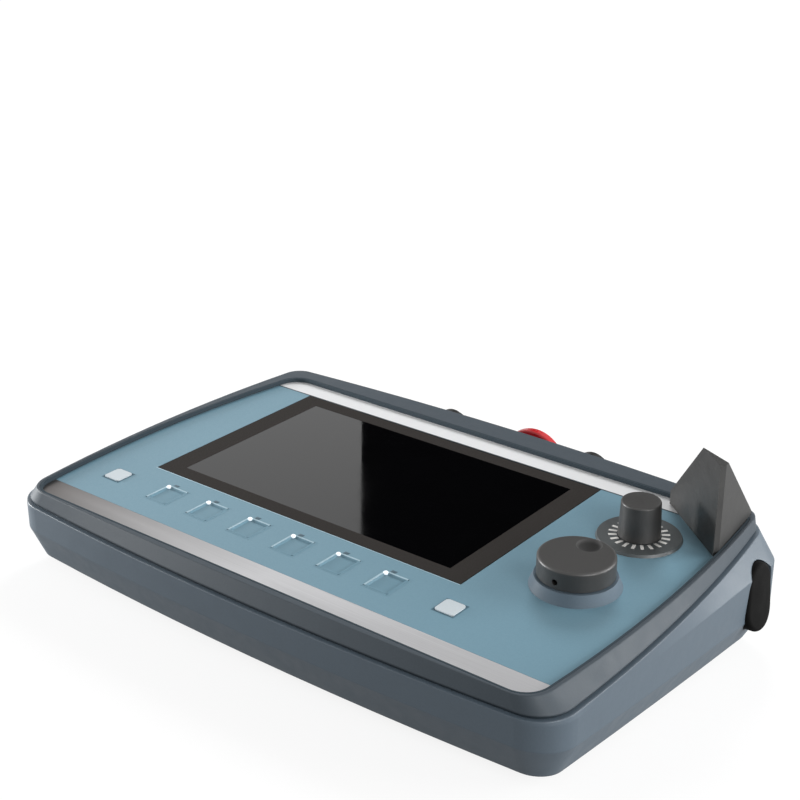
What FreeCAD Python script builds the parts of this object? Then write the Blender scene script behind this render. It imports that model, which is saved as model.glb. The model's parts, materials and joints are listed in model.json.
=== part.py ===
import FreeCAD
import Part
import Sketcher
import math
import os
import re

# Driving dimensions of the operator panel, in millimetres and degrees.
# Heights start at the top of the front overlay and positions at the middle of the housing.
SIZES = {
    # Housing shells
    "body_half_length": 145,
    "body_half_depth": 97.8,
    "side_bow": 6000,
    "rear_bow": 1600,
    "front_bow": 1700,
    "crest_bow": 4000,
    "rear_corner": 13,
    "front_corner": 16,
    "belly_corner": 14,
    "floor_corner": 26,
    "belly_drop": 12,
    "rim_bow": 790,
    "rim_bow_y": -40,
    "wall_flare": 1.5,
    "rim_height": 2,
    "rim_depth": 4.5,
    "rim_slope": 3.8,
    "rim_side_slope": 4,
    "seal_height": 1.2,
    "seal_width": 1.2,
    "seal_inset": 0.6,
    "shell_wall": 3.5,
    "floor_wall": 2.5,
    "wedge_angle": 6,
    "center_depth": 42.2,
    "bevel_height": 14,
    "bevel_inset": 6,
    "skirt_depth": 4.5,
    "skirt_wall": 2,
    "fit_gap": 0.3,
    "touch_gap": 0.1,
    # Front overlay and its strips
    "overlay_left_inset": 7.3,
    "overlay_right_inset": 6.7,
    "overlay_front_inset": 7.8,
    "overlay_corner": 10.5,
    "overlay_guard_corner": 1.5,
    "overlay_left_bow": 550,
    "overlay_left_bow_y": -25,
    "overlay_right_bow": 700,
    "overlay_right_bow_y": -10,
    "overlay_thick": 0.8,
    "bead_width": 1,
    "bead_rise": 0.2,
    "strip_depth": 13.4,
    "header_depth": 11,
    "header_margin": 0.9,
    # Screen
    "display_x": -21,
    "display_y": 14.7,
    "glass_length": 174.5,
    "glass_depth": 107.2,
    "glass_thick": 2.2,
    "glass_drop": 0.1,
    "screen_length": 152.4,
    "screen_depth": 91.4,
    "screen_margin": 3.8,
    "module_border": 2.5,
    "module_thick": 6,
    "frame_tab": 10.5,
    "frame_thick": 1.2,
    "frame_screw_y": 40,
    "board_standoff": 5,
    "board_thick": 1.6,
    "board_length": 160,
    "board_depth": 95,
    "board_screw_x": 70,
    "board_screw_y": 40,
    "chip_size": 32,
    "chip_height": 4,
    "plug_length": 40,
    "plug_depth": 9,
    "plug_height": 8,
    # Keys
    "key_pitch": 25.14,
    "key_row_gap": 17.2,
    "key_length": 12.5,
    "key_depth": 14.5,
    "key_rise": 0.15,
    "key_rim": 0.9,
    "key_dish": 0.7,
    "key_well": 1.2,
    "key_corner": 1.5,
    "key_gap": 0.15,
    "key_travel": 0.5,
    "white_key_offset": 94.75,
    "white_key_size": 9.4,
    "white_key_rise": 0.5,
    "plunger_diameter": 5,
    "plunger_reach": 0.5,
    "keypad_drop": 2.3,
    "keypad_depth": 20,
    "keypad_end": 8,
    "dome_diameter": 7,
    "dome_height": 1.2,
    # Handwheel
    "rotary_inset": 42.7,
    "wheel_y": -10.5,
    "collar_diameter": 38,
    "collar_top": 34,
    "collar_height": 4.8,
    "wheel_diameter": 32,
    "wheel_height": 8.4,
    "wheel_lift": 0.6,
    "wheel_round": 1.2,
    "dimple_radius": 7.5,
    "dimple_depth": 2.2,
    "dimple_offset": 9.2,
    "set_screw_diameter": 2.6,
    "set_screw_depth": 4,
    "encoder_side": 26,
    "encoder_height": 16,
    "wheel_bush": 9.8,
    "wheel_nut_flats": 14,
    # Override switch
    "dial_inset": 58,
    "dial_diameter": 37,
    "dial_thick": 1.2,
    "knob_diameter": 18.4,
    "knob_top": 17,
    "knob_height": 15.9,
    "knob_lift": 0.4,
    "knob_wall": 1.6,
    "knob_round": 0.8,
    "pointer_width": 1.4,
    "pointer_depth": 0.7,
    "switch_side": 22,
    "switch_height": 18,
    "knob_bush": 8.8,
    "knob_nut_flats": 11.4,
    # Shafts and nuts common to both rotary controls
    "shaft_diameter": 6,
    "shaft_fit": 0.05,
    "shaft_engage": 7,
    "shaft_tail": 11,
    "nut_height": 2,
    "nut_room": 0.8,
    # Corner guard
    "guard_length": 39,
    "guard_depth": 36.4,
    "guard_end": 4.5,
    "guard_bevel": 2.7,
    "guard_lean": 1.1,
    "guard_height": 41.4,
    "guard_shoulder": 6.2,
    "guard_top_length": 18.5,
    "guard_top_width": 5,
    "guard_heel": 0.4,
    "guard_overhang": 5.5,
    "guard_corner": 1.5,
    "guard_screw_a_inset_x": 14,
    "guard_screw_a_inset_y": 43,
    "guard_screw_b_inset_x": 30,
    "guard_screw_b_inset_y": 31.8,
    "guard_screw_reach": 9,
    # Rear wall seats
    "seat_rise": 1,
    "inner_seat": 2,
    # Emergency stop
    "estop_drop": 23.5,
    "estop_seat": 34,
    "estop_hole": 22.4,
    "estop_collar_diameter": 36,
    "estop_collar_height": 6,
    "estop_collar_bore": 21,
    "estop_collar_floor": 1.5,
    "estop_head_diameter": 35.2,
    "estop_head_neck": 20,
    "estop_head_start": 7.5,
    "estop_head_brim": 12.5,
    "estop_head_edge": 4,
    "estop_head_height": 21,
    "estop_stem_diameter": 12,
    "estop_stem_engage": 9,
    "estop_nut_diameter": 29,
    "estop_nut_height": 4,
    "estop_block_length": 28,
    "estop_block_height": 30,
    "estop_block_gap": 2.8,
    "estop_stem_tail": 4,
    "estop_travel": 5,
    # Rear push buttons
    "button_x": 41.4,
    "button_drop": 10.8,
    "button_seat": 9.8,
    "bezel_diameter": 18.4,
    "bezel_height": 4,
    "bezel_floor": 1.2,
    "bezel_ring": 1.9,
    "bezel_neck": 8,
    "bezel_neck_length": 8,
    "button_cap_height": 3.2,
    "button_travel": 2.5,
    "button_stem": 5,
    "button_switch_diameter": 11.5,
    "button_switch_length": 15,
    # Enabling buttons in the rear corners
    "trigger_inset": 29.8,
    "trigger_sink": 0.4,
    "trigger_turn": 86,
    "trigger_lean": 8,
    "trigger_slant": 10,
    "trigger_drop": 26.2,
    "trigger_width": 21,
    "trigger_height": 30.5,
    "trigger_crown": 60,
    "trigger_proud": 1.4,
    "trigger_reach": 10,
    "trigger_flange": 1.2,
    "trigger_flange_thick": 2,
    "trigger_gap": 0.4,
    "trigger_travel": 3,
    "trigger_round": 2,
    "trigger_switch_width": 18,
    "trigger_switch_depth": 8,
    "trigger_switch_height": 40,
    # Cable inlet
    "gland_inset": 50,
    "gland_drop": 28,
    "gland_setback": 2.6,
    "gland_seat": 27,
    "gland_flange": 25,
    "gland_flange_height": 4,
    "gland_dome": 21,
    "gland_tip": 16,
    "gland_length": 15,
    "gland_bore": 12,
    "gland_thread": 19.6,
    "gland_thread_length": 13,
    "gland_nut_diameter": 25,
    "gland_nut_height": 4,
    # Underside cover, feet and screws
    "cover_side_inset": 11,
    "cover_rear_inset": 10.8,
    "cover_depth": 44,
    "cover_thick": 3.5,
    "cover_corner": 12,
    "cover_bevel": 1.5,
    "cover_screw_x": 60,
    "cover_screw_inset": 8,
    "foot_height": 5,
    "origin_setback": 8.301,
    "foot_diameter": 16,
    "foot_side_inset": 45,
    "foot_front_inset": 36,
    "foot_rear_inset": 26,
    "side_post_inset": 11.5,
    "front_post_inset": 25.8,
    "middle_post_y": 5,
    "rear_post_inset_x": 79,
    "rear_post_inset_y": 13.8,
    "post_diameter": 9,
    "screw_diameter": 3,
    "screw_head": 5.6,
    "screw_head_height": 2.4,
    "screw_recess": 7,
    "boss_diameter": 7,
}

doc = FreeCAD.newDocument("OperatorPanel")
sheet = doc.addObject("Spreadsheet::Sheet", "Sizes")
for row, (alias, size) in enumerate(SIZES.items(), start=1):
    sheet.set(f"A{row}", alias)
    sheet.set(f"B{row}", str(size))
    sheet.setAlias(f"B{row}", alias)
doc.recompute()

# Levels and positions that several sub-parts share
SEAT_FLOOR = "(-overlay_thick)"
PLATE_BACK = "(-rim_depth)"
PARTING = "(-rim_depth - seal_height)"
POST_TOP = "(-rim_depth - skirt_depth)"
HEADER_FRONT = "(display_y + glass_depth / 2 + header_margin)"
OVERLAY_REAR = f"({HEADER_FRONT} + header_depth)"
OVERLAY_FRONT = "(overlay_front_inset - body_half_depth)"
OVERLAY_LEFT = "(overlay_left_inset - body_half_length)"
OVERLAY_RIGHT = "(body_half_length - overlay_right_inset)"
STRIP_REAR = f"({OVERLAY_FRONT} + strip_depth)"
KEY_ROW = "(display_y - glass_depth / 2 - key_row_gap)"
WELL_FLOOR = "(-overlay_thick - key_well)"
KEY_BASE = f"({WELL_FLOOR} + key_travel + touch_gap)"
GLASS_BACK = "(-glass_drop - glass_thick)"
MODULE_BACK = "(-rim_depth - module_thick)"
FRAME_BACK = f"({MODULE_BACK} - frame_thick)"
BOARD_FRONT = f"({FRAME_BACK} - board_standoff)"
MODULE_LENGTH = "(screen_length + 2 * screen_margin + 2 * module_border)"
MODULE_DEPTH = "(screen_depth + 2 * screen_margin + 2 * module_border)"
FRAME_SCREW_X = f"({MODULE_LENGTH} / 2 + frame_tab / 2)"
KEYPAD_FRONT = "(-rim_depth - keypad_drop)"
REAR_FACE = "(body_half_depth + wall_flare)"
REAR_SEAT = f"({REAR_FACE} + seat_rise)"
INNER_SEAT = f"({REAR_FACE} - shell_wall - inner_seat)"
GLAND_SEAT = f"({REAR_SEAT} - gland_setback)"
GLAND_INNER = f"({INNER_SEAT} - gland_setback)"
SCREW_HOLE = "(screw_diameter + 2 * shaft_fit)"
ROTARY_X = "(body_half_length - rotary_inset)"
DIAL_Y = "(body_half_depth - dial_inset)"
TRIGGER_X = "(body_half_length + wall_flare - trigger_sink)"
TRIGGER_Y = "(body_half_depth - trigger_inset)"
GLAND_X = "(gland_inset - body_half_length)"
COVER_REAR = "(body_half_depth - cover_rear_inset)"
COVER_FRONT = f"({COVER_REAR} - cover_depth)"
FOOT_X = "(body_half_length - foot_side_inset)"
SIDES = (("left", -1), ("right", 1))
KEY_COUNT = 6
HEX_ANGLES = range(0, 360, 60)


def cells(formula):
    """Write a formula of size names with the sheet's name before each of them."""
    return re.sub(r"[a-z][a-z_]*", lambda word: _cell(word.group()), formula)


def _cell(word):
    return f"Sizes.{word}" if word in SIZES else word


def number(formula):
    """Value of a formula of size names."""
    return float(sheet.evalExpression(cells(formula)))


def bind(target, prop, formula):
    target.setExpression(prop, cells(formula))


def floor_at(y):
    """Height of the sloping underside below a point at depth y."""
    return f"(-center_depth - ({y}) * tan(wedge_angle))"


def key_spot(index):
    """Place along the row of function key number index, counted from 0."""
    return f"(display_x + key_pitch * {index - (KEY_COUNT - 1) / 2})"


def new_body(label):
    """Body in the panel's own frame, set down so that its underside lies level on its feet."""
    body = doc.addObject("PartDesign::Body", label)
    body.Label = label
    level = FreeCAD.Rotation(FreeCAD.Vector(1, 0, 0), number("wedge_angle"))
    body.Placement = FreeCAD.Placement(FreeCAD.Vector(), level)
    bind(body, "Placement.Rotation.Angle", "wedge_angle")
    bind(body, "Placement.Base.y", "-center_depth * sin(wedge_angle) - origin_setback")
    bind(body, "Placement.Base.z", "center_depth * cos(wedge_angle) + foot_height")
    return body


def attach(item, body, plane, x, y, z, axis, turn):
    """Attach a sketch or primitive to an origin plane, moved to x, y, z and turned about a local axis."""
    item.AttachmentSupport = [(find_plane(body, plane), "")]
    item.MapMode = "FlatFace"
    spin = FreeCAD.Rotation(FreeCAD.Vector(*axis), number(turn))
    item.AttachmentOffset = FreeCAD.Placement(FreeCAD.Vector(), spin)
    local = {"XY_Plane": (x, y, z), "XZ_Plane": (x, z, f"-({y})"), "YZ_Plane": (y, z, x)}[plane]
    for name, formula in zip("xyz", local):
        bind(item, f"AttachmentOffset.Base.{name}", formula)
    if turn != "0":
        bind(item, "AttachmentOffset.Rotation.Angle", turn)


def find_plane(body, role):
    return next(item for item in body.Origin.OriginFeatures if item.Role == role)


def sketch_at(body, name, x="0", y="0", z="0", plane="XY_Plane", axis=(0, 0, 1), turn="0"):
    sketch = body.newObject("Sketcher::SketchObject", name)
    attach(sketch, body, plane, x, y, z, axis, turn)
    return sketch


def underside_sketch(body, name, lift="0"):
    """Sketch on the sloping underside, or on a plane lifted square from it."""
    y = f"({lift}) * sin(wedge_angle)"
    z = f"({lift}) * cos(wedge_angle) - center_depth"
    return sketch_at(body, name, y=y, z=z, axis=(-1, 0, 0), turn="wedge_angle")


def hold(sketch, kind, formula, *spots):
    """Add a dimension to a sketch and bind it to a formula."""
    index = sketch.addConstraint(Sketcher.Constraint(kind, *spots, number(formula)))
    sketch.setExpression(f"Constraints[{index}]", cells(formula))


def hold_point(sketch, geometry, point, x, y):
    if x == "0":
        sketch.addConstraint(Sketcher.Constraint("PointOnObject", geometry, point, -2))
    else:
        hold(sketch, "DistanceX", x, -1, 1, geometry, point)
    if y == "0":
        sketch.addConstraint(Sketcher.Constraint("PointOnObject", geometry, point, -1))
    else:
        hold(sketch, "DistanceY", y, -1, 1, geometry, point)


def add_polygon(sketch, corners):
    """Closed polygon whose corners are pairs of formulas."""
    first = sketch.GeometryCount
    spots = [FreeCAD.Vector(number(x), number(y), 0) for x, y in corners]
    for start, end in zip(spots, spots[1:] + spots[:1]):
        sketch.addGeometry(Part.LineSegment(start, end))
    count = len(corners)
    for index, (x, y) in enumerate(corners):
        after = first + (index + 1) % count
        sketch.addConstraint(Sketcher.Constraint("Coincident", first + index, 2, after, 1))
        hold_point(sketch, first + index, 1, x, y)


def add_rectangle(sketch, x, y, length, depth):
    """Rectangle round the middle x, y."""
    west, east = (f"({x}) - ({length}) / 2", f"({x}) + ({length}) / 2")
    south, north = (f"({y}) - ({depth}) / 2", f"({y}) + ({depth}) / 2")
    add_polygon(sketch, [(west, south), (east, south), (east, north), (west, north)])


def add_glass(sketch, gap):
    """Outline of the touch glass with a gap round it."""
    add_rectangle(sketch, "display_x", "display_y", f"glass_length + 2 * {gap}", f"glass_depth + 2 * {gap}")


def add_hexagon(sketch, flats):
    """Hexagon round the sketch's origin, by its width across flats."""
    reach = f"({flats}) / 2 / cos(30)"
    add_polygon(sketch, [(f"{reach} * cos({a + 15})", f"{reach} * sin({a + 15})") for a in HEX_ANGLES])


def add_circle(sketch, x, y, diameter):
    center = FreeCAD.Vector(number(x), number(y), 0)
    index = sketch.addGeometry(Part.Circle(center, FreeCAD.Vector(0, 0, 1), number(diameter) / 2))
    hold(sketch, "Diameter", diameter, index)
    hold_point(sketch, index, 3, x, y)


def add_slot(sketch, width, height, slant):
    """Slot with round ends round the sketch's origin, slanted from upright."""
    first = sketch.GeometryCount
    radius = number(width) / 2
    reach = f"((({height}) - ({width})) / 2)"
    end_x = f"({reach} * sin({slant}))"
    end_y = f"({reach} * cos({slant}))"
    angle = math.radians(number(slant))
    up = FreeCAD.Vector(number(end_x), number(end_y), 0)
    side = FreeCAD.Vector(radius * math.cos(angle), -radius * math.sin(angle), 0)
    add_arc(sketch, up, radius, -angle, math.pi - angle)
    sketch.addGeometry(Part.LineSegment(up - side, -up - side))
    add_arc(sketch, -up, radius, math.pi - angle, 2 * math.pi - angle)
    sketch.addGeometry(Part.LineSegment(side - up, up + side))
    for index in range(4):
        after = first + (index + 1) % 4
        sketch.addConstraint(Sketcher.Constraint("Tangent", first + index, 2, after, 1))
    for arc, way in ((first, "1"), (first + 2, "-1")):
        hold(sketch, "Radius", f"({width}) / 2", arc)
        hold_point(sketch, arc, 3, f"{way} * {end_x}", f"{way} * {end_y}")


def add_overlay_outline(sketch, grow):
    """Outline of the overlay: straight front and rear, bowed sides and round corners."""
    rear = f"({OVERLAY_REAR} + {grow})"
    front = f"({OVERLAY_FRONT} - {grow})"
    bows = [f"(overlay_{side}_bow + {grow})" for side in ("right", "left")]
    middles = [
        (f"({OVERLAY_RIGHT} - overlay_right_bow)", "overlay_right_bow_y"),
        (f"({OVERLAY_LEFT} + overlay_left_bow)", "overlay_left_bow_y"),
    ]
    names = ("overlay_guard_corner", "overlay_corner", "overlay_corner", "overlay_corner")
    rounds = [f"({name} + {grow})" for name in names]
    radii = [number(size) for size in rounds]
    bow_radii = [number(size) for size in bows]
    bow_centers = [FreeCAD.Vector(number(x), number(y), 0) for x, y in middles]
    y_max, y_min = (number(rear), number(front))
    corners = []
    for turn, radius in enumerate(radii):
        bow = 0 if turn in (0, 3) else 1
        way = 1 if bow == 0 else -1
        y = y_max - radius if turn in (0, 1) else y_min + radius
        center = bow_centers[bow]
        reach = math.sqrt((bow_radii[bow] - radius) ** 2 - (y - center.y) ** 2)
        corners.append(FreeCAD.Vector(center.x + way * reach, y, 0))
    turns = [heading(bow_centers[0 if turn in (0, 3) else 1], corner) for turn, corner in enumerate(corners)]
    quarter = math.pi / 2
    ups = [FreeCAD.Vector(0, radius, 0) for radius in radii]
    first = sketch.GeometryCount
    add_arc(sketch, bow_centers[0], bow_radii[0], turns[3], turns[0])
    add_arc(sketch, corners[0], radii[0], turns[0], quarter)
    sketch.addGeometry(Part.LineSegment(corners[0] + ups[0], corners[1] + ups[1]))
    add_arc(sketch, corners[1], radii[1], quarter, turns[1])
    add_arc(sketch, bow_centers[1], bow_radii[1], turns[1], turns[2])
    add_arc(sketch, corners[2], radii[2], turns[2], -quarter)
    sketch.addGeometry(Part.LineSegment(corners[2] - ups[2], corners[3] - ups[3]))
    add_arc(sketch, corners[3], radii[3], -quarter, turns[3])
    for index in range(8):
        after = first + (index + 1) % 8
        sketch.addConstraint(Sketcher.Constraint("Tangent", first + index, 2, after, 1))
    for turn, size in enumerate(rounds):
        hold(sketch, "Radius", size, first + 2 * turn + 1)
    for arc, size, (x, y) in zip((first, first + 4), bows, middles):
        hold(sketch, "Radius", size, arc)
        hold_point(sketch, arc, 3, x, y)
    for line, y in ((first + 2, rear), (first + 6, front)):
        sketch.addConstraint(Sketcher.Constraint("Horizontal", line))
        hold(sketch, "DistanceY", y, -1, 1, line, 1)


def add_outline(sketch, inset, stretch="1", front="front_bow", rear="rear_corner", side_inset=None,
                side="rim_bow", side_y="rim_bow_y"):
    """Outline of the housing with four bowed sides and round corners, moved in by inset.

    The depth is stretched where the outline lies on the sloping underside.
    """
    length = f"(body_half_length - ({side_inset or inset}))"
    depth = f"((body_half_depth - ({inset})) * ({stretch}))"
    bows = [f"({size} - ({inset}))" for size in (side, "rear_bow", side, front)]
    rounds = [f"({size} - ({inset}))" for size in (rear, rear, "front_corner", "front_corner")]
    middles = [
        (f"{length} - {bows[0]}", side_y),
        ("0", f"{depth} - {bows[1]}"),
        (f"{bows[2]} - {length}", side_y),
        ("0", f"{bows[3]} - {depth}"),
    ]
    centers = [FreeCAD.Vector(number(x), number(y), 0) for x, y in middles]
    bow_radii = [number(size) for size in bows]
    round_radii = [number(size) for size in rounds]
    corners = []
    for turn in range(4):
        after = (turn + 1) % 4
        reach = (bow_radii[turn] - round_radii[turn], bow_radii[after] - round_radii[turn])
        corners.append(corner_center(centers[turn], centers[after], *reach))
    first = sketch.GeometryCount
    for turn in range(4):
        after = (turn + 1) % 4
        start = heading(centers[turn], corners[turn - 1])
        end = heading(centers[turn], corners[turn])
        add_arc(sketch, centers[turn], bow_radii[turn], start, end)
        add_arc(sketch, corners[turn], round_radii[turn], end, heading(centers[after], corners[turn]))
    for index in range(8):
        after = first + (index + 1) % 8
        sketch.addConstraint(Sketcher.Constraint("Tangent", first + index, 2, after, 1))
        size = rounds[index // 2] if index % 2 else bows[index // 2]
        hold(sketch, "Radius", size, first + index)
    for turn, (x, y) in enumerate(middles):
        hold_point(sketch, first + 2 * turn, 3, x, y)


def add_arc(sketch, center, radius, start, end):
    """Arc that runs anticlockwise between two angles."""
    full = Part.Circle(center, FreeCAD.Vector(0, 0, 1), radius)
    sketch.addGeometry(Part.ArcOfCircle(full, start, end if end > start else end + 2 * math.pi))


def heading(center, point):
    return math.atan2(point.y - center.y, point.x - center.x)


def corner_center(side, after, side_reach, after_reach):
    """Middle of the corner arc inside two bowed sides, from their centres and its reach from each.

    The sides follow each other anticlockwise, so the corner lies on the right of the line between them.
    """
    across = after - side
    span = across.Length
    along = (side_reach ** 2 - after_reach ** 2 + span ** 2) / (2 * span)
    off = math.sqrt(side_reach ** 2 - along ** 2)
    unit = across / span
    return side + unit * along + FreeCAD.Vector(-unit.y, unit.x, 0) * off


def pad(body, sketch, length, down=False):
    feature = body.newObject("PartDesign::Pad", f"{sketch.Name}Pad")
    feature.Profile = sketch
    bind(feature, "Length", length)
    feature.Reversed = down
    sketch.Visibility = False
    return feature


def pocket(body, sketch, length, up=False, both=False):
    feature = body.newObject("PartDesign::Pocket", f"{sketch.Name}Cut")
    feature.Profile = sketch
    bind(feature, "Length", length)
    feature.Reversed = up
    feature.Midplane = both
    sketch.Visibility = False
    return feature


def loft(body, kind, sections):
    """Straight-sided loft through the sections, added or taken away."""
    feature = body.newObject(f"PartDesign::{kind}", f"{sections[0].Name}Loft")
    feature.Profile = sections[0]
    feature.Sections = sections[1:]
    feature.Ruled = True
    return feature


def revolve(body, sketch):
    """Turn a profile about the sketch's own upright axis."""
    feature = body.newObject("PartDesign::Revolution", f"{sketch.Name}Turn")
    feature.Profile = sketch
    feature.ReferenceAxis = (sketch, ["V_Axis"])
    feature.Angle = 360
    return feature


def fillet(body, base, radius, test):
    """Round the edges of a feature for which the test holds."""
    return dress(body, "Fillet", "Radius", base, radius, test)


def chamfer(body, base, size, test):
    return dress(body, "Chamfer", "Size", base, size, test)


def dress(body, kind, prop, base, size, test):
    doc.recompute()
    edges = [f"Edge{i}" for i, edge in enumerate(base.Shape.Edges, start=1) if test(edge)]
    feature = body.newObject(f"PartDesign::{kind}", f"{base.Name}{kind}")
    feature.Base = (base, edges)
    bind(feature, prop, size)
    return feature


def is_upright(edge):
    start, end = (vertex.Point for vertex in (edge.Vertexes[0], edge.Vertexes[-1]))
    return start.distanceToPoint(end) > 0 and abs(start.z - end.z) > 0.99 * start.distanceToPoint(end)


def lies_at(edge, level):
    """Tell whether an edge lies wholly at one height."""
    box = edge.BoundBox
    return abs(box.ZMin - level) < 0.01 and abs(box.ZMax - level) < 0.01


def box_body(label, x, y, top, length, depth, height):
    """Block that hangs down from the level top."""
    body = new_body(label)
    sketch = sketch_at(body, f"{label}Plan", z=top)
    add_rectangle(sketch, x, y, length, depth)
    pad(body, sketch, height, down=True)
    return body


def turned_body(label, x, y, profile):
    """Body of revolution about an upright axis, from pairs of radius and height."""
    body = new_body(label)
    sketch = sketch_at(body, f"{label}Profile", x=x, y=y, plane="XZ_Plane")
    add_polygon(sketch, profile)
    revolve(body, sketch)
    return body


def rear_turned_body(label, x, z, profile):
    """Body of revolution about an axis square to the rear wall, from pairs of radius and depth."""
    body = new_body(label)
    sketch = sketch_at(body, f"{label}Profile", x=x, z=z)
    add_polygon(sketch, profile)
    revolve(body, sketch)
    return body


def screw_group(label, spots, head_top, shank_top):
    """Screws that point up, as separate solids, each with its head below the level head_top."""
    body = new_body(label)
    heads = sketch_at(body, f"{label}Heads", z=head_top)
    for x, y in spots:
        add_circle(heads, x, y, "screw_head")
    pad(body, heads, "screw_head_height", down=True)
    shanks = sketch_at(body, f"{label}Shanks", z=head_top)
    for x, y in spots:
        add_circle(shanks, x, y, "screw_diameter")
    pad(body, shanks, f"{shank_top} - {head_top}")
    return body


def post_rows():
    """Rows of housing screws, as the mirrored place along x and the place along y."""
    side = "(body_half_length - side_post_inset)"
    return [
        (side, "(front_post_inset - body_half_depth)"),
        (side, "middle_post_y"),
        ("(body_half_length - rear_post_inset_x)", "(body_half_depth - rear_post_inset_y)"),
    ]


def pairs(x, y):
    """Two spots that mirror each other about the middle plane."""
    return [(f"-({x})", y), (x, y)]


def frame_screw_spots():
    return around_display(FRAME_SCREW_X, "frame_screw_y")


def board_screw_spots():
    return around_display("board_screw_x", "board_screw_y")


def around_display(x, y):
    """Four spots in a rectangle round the middle of the screen."""
    signs = ((-1, -1), (1, -1), (1, 1), (-1, 1))
    return [(f"display_x + {a} * {x}", f"display_y + {b} * {y}") for a, b in signs]


def keypad_screw_spots():
    end = "(white_key_offset - 2 * boss_diameter)"
    return [(f"display_x + {a} * {reach}", KEY_ROW) for reach in (end, "key_pitch") for a in (-1, 1)]


def guard_screw_spots():
    insets = [f"guard_screw_{name}_inset" for name in "ab"]
    return [(f"(body_half_length - {inset}_x)", f"(body_half_depth - {inset}_y)") for inset in insets]


def key_list():
    """Each key with its label, place along the row, length, depth and rise."""
    keys = []
    for index in range(KEY_COUNT):
        label = f"function_key_{index + 1}"
        keys.append((label, key_spot(index), "key_length", "key_depth", "key_rise"))
    for side, sign in SIDES:
        spot = f"(display_x + {sign} * white_key_offset)"
        keys.append((f"white_key_{side}", spot, "white_key_size", "white_key_size", "white_key_rise"))
    return keys


def build_upper_housing():
    """Front frame: sloping rim, locating skirt, seat for the overlay, window and bosses."""
    body = new_body("upper_housing")
    foot = sketch_at(body, "RimFoot", z=PLATE_BACK)
    add_outline(foot, "0")
    crest = sketch_at(body, "RimCrest", z="rim_height")
    add_outline(crest, "rim_slope", front="crest_bow", side_inset="rim_side_slope",
                side="overlay_right_bow", side_y="overlay_right_bow_y")
    loft(body, "AdditiveLoft", [foot, crest])

    skirt = sketch_at(body, "Skirt", z=PLATE_BACK)
    skirt_inset = "shell_wall - wall_flare + fit_gap"
    add_outline(skirt, skirt_inset)
    add_outline(skirt, f"{skirt_inset} + skirt_wall")
    pad(body, skirt, "skirt_depth", down=True)
    relief = sketch_at(body, "SkirtRelief", z=PLATE_BACK)
    relief_half = "(button_x + bezel_diameter)"
    add_rectangle(relief, "0", "body_half_depth", f"2 * {relief_half}", "4 * skirt_wall + 2 * shell_wall")
    pocket(body, relief, "skirt_depth")

    bosses = sketch_at(body, "Bosses", z=PLATE_BACK)
    for x, y in frame_screw_spots():
        add_circle(bosses, x, y, "boss_diameter")
    pad(body, bosses, "module_thick", down=True)
    keypad_bosses = sketch_at(body, "KeypadBosses", z=PLATE_BACK)
    for x, y in keypad_screw_spots():
        add_circle(keypad_bosses, x, y, "boss_diameter")
    pad(body, keypad_bosses, "keypad_drop", down=True)
    posts = sketch_at(body, "Posts", z=PLATE_BACK)
    for x, y in post_rows():
        for spot in pairs(x, y):
            add_circle(posts, *spot, "post_diameter")
    pad(body, posts, "skirt_depth", down=True)

    seat = sketch_at(body, "OverlaySeat", z="rim_height")
    add_overlay_outline(seat, "(bead_width + 2 * touch_gap)")
    pocket(body, seat, "rim_height + overlay_thick")
    wells = sketch_at(body, "KeyWells", z="rim_height")
    for _, x, length, depth, _ in key_list():
        add_rectangle(wells, x, KEY_ROW, f"{length} + 2 * fit_gap", f"{depth} + 2 * fit_gap")
    pocket(body, wells, f"rim_height - {WELL_FLOOR}")

    glass = sketch_at(body, "GlassSeat", z="rim_height")
    add_glass(glass, "fit_gap")
    pocket(body, glass, f"rim_height - {GLASS_BACK}")
    window = sketch_at(body, "Window", z="rim_height")
    window_length = "screen_length + 2 * screen_margin"
    window_depth = "screen_depth + 2 * screen_margin"
    add_rectangle(window, "display_x", "display_y", window_length, window_depth)
    pocket(body, window, "rim_height + rim_depth")

    holes = sketch_at(body, "ControlHoles", z="rim_height")
    for _, x, _, _, _ in key_list():
        add_circle(holes, x, KEY_ROW, "plunger_diameter + 2 * fit_gap")
    add_circle(holes, ROTARY_X, "wheel_y", "wheel_bush + 2 * fit_gap")
    add_circle(holes, ROTARY_X, DIAL_Y, "knob_bush + 2 * fit_gap")
    for spot in guard_screw_spots():
        add_circle(holes, *spot, SCREW_HOLE)
    pocket(body, holes, "rim_height + rim_depth")

    threads = sketch_at(body, "BossThreads", z=MODULE_BACK)
    for spot in frame_screw_spots():
        add_circle(threads, *spot, SCREW_HOLE)
    for x, y in post_rows():
        for spot in pairs(x, y):
            add_circle(threads, *spot, SCREW_HOLE)
    pocket(body, threads, "module_thick + rim_depth / 4", up=True)
    return body


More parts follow.
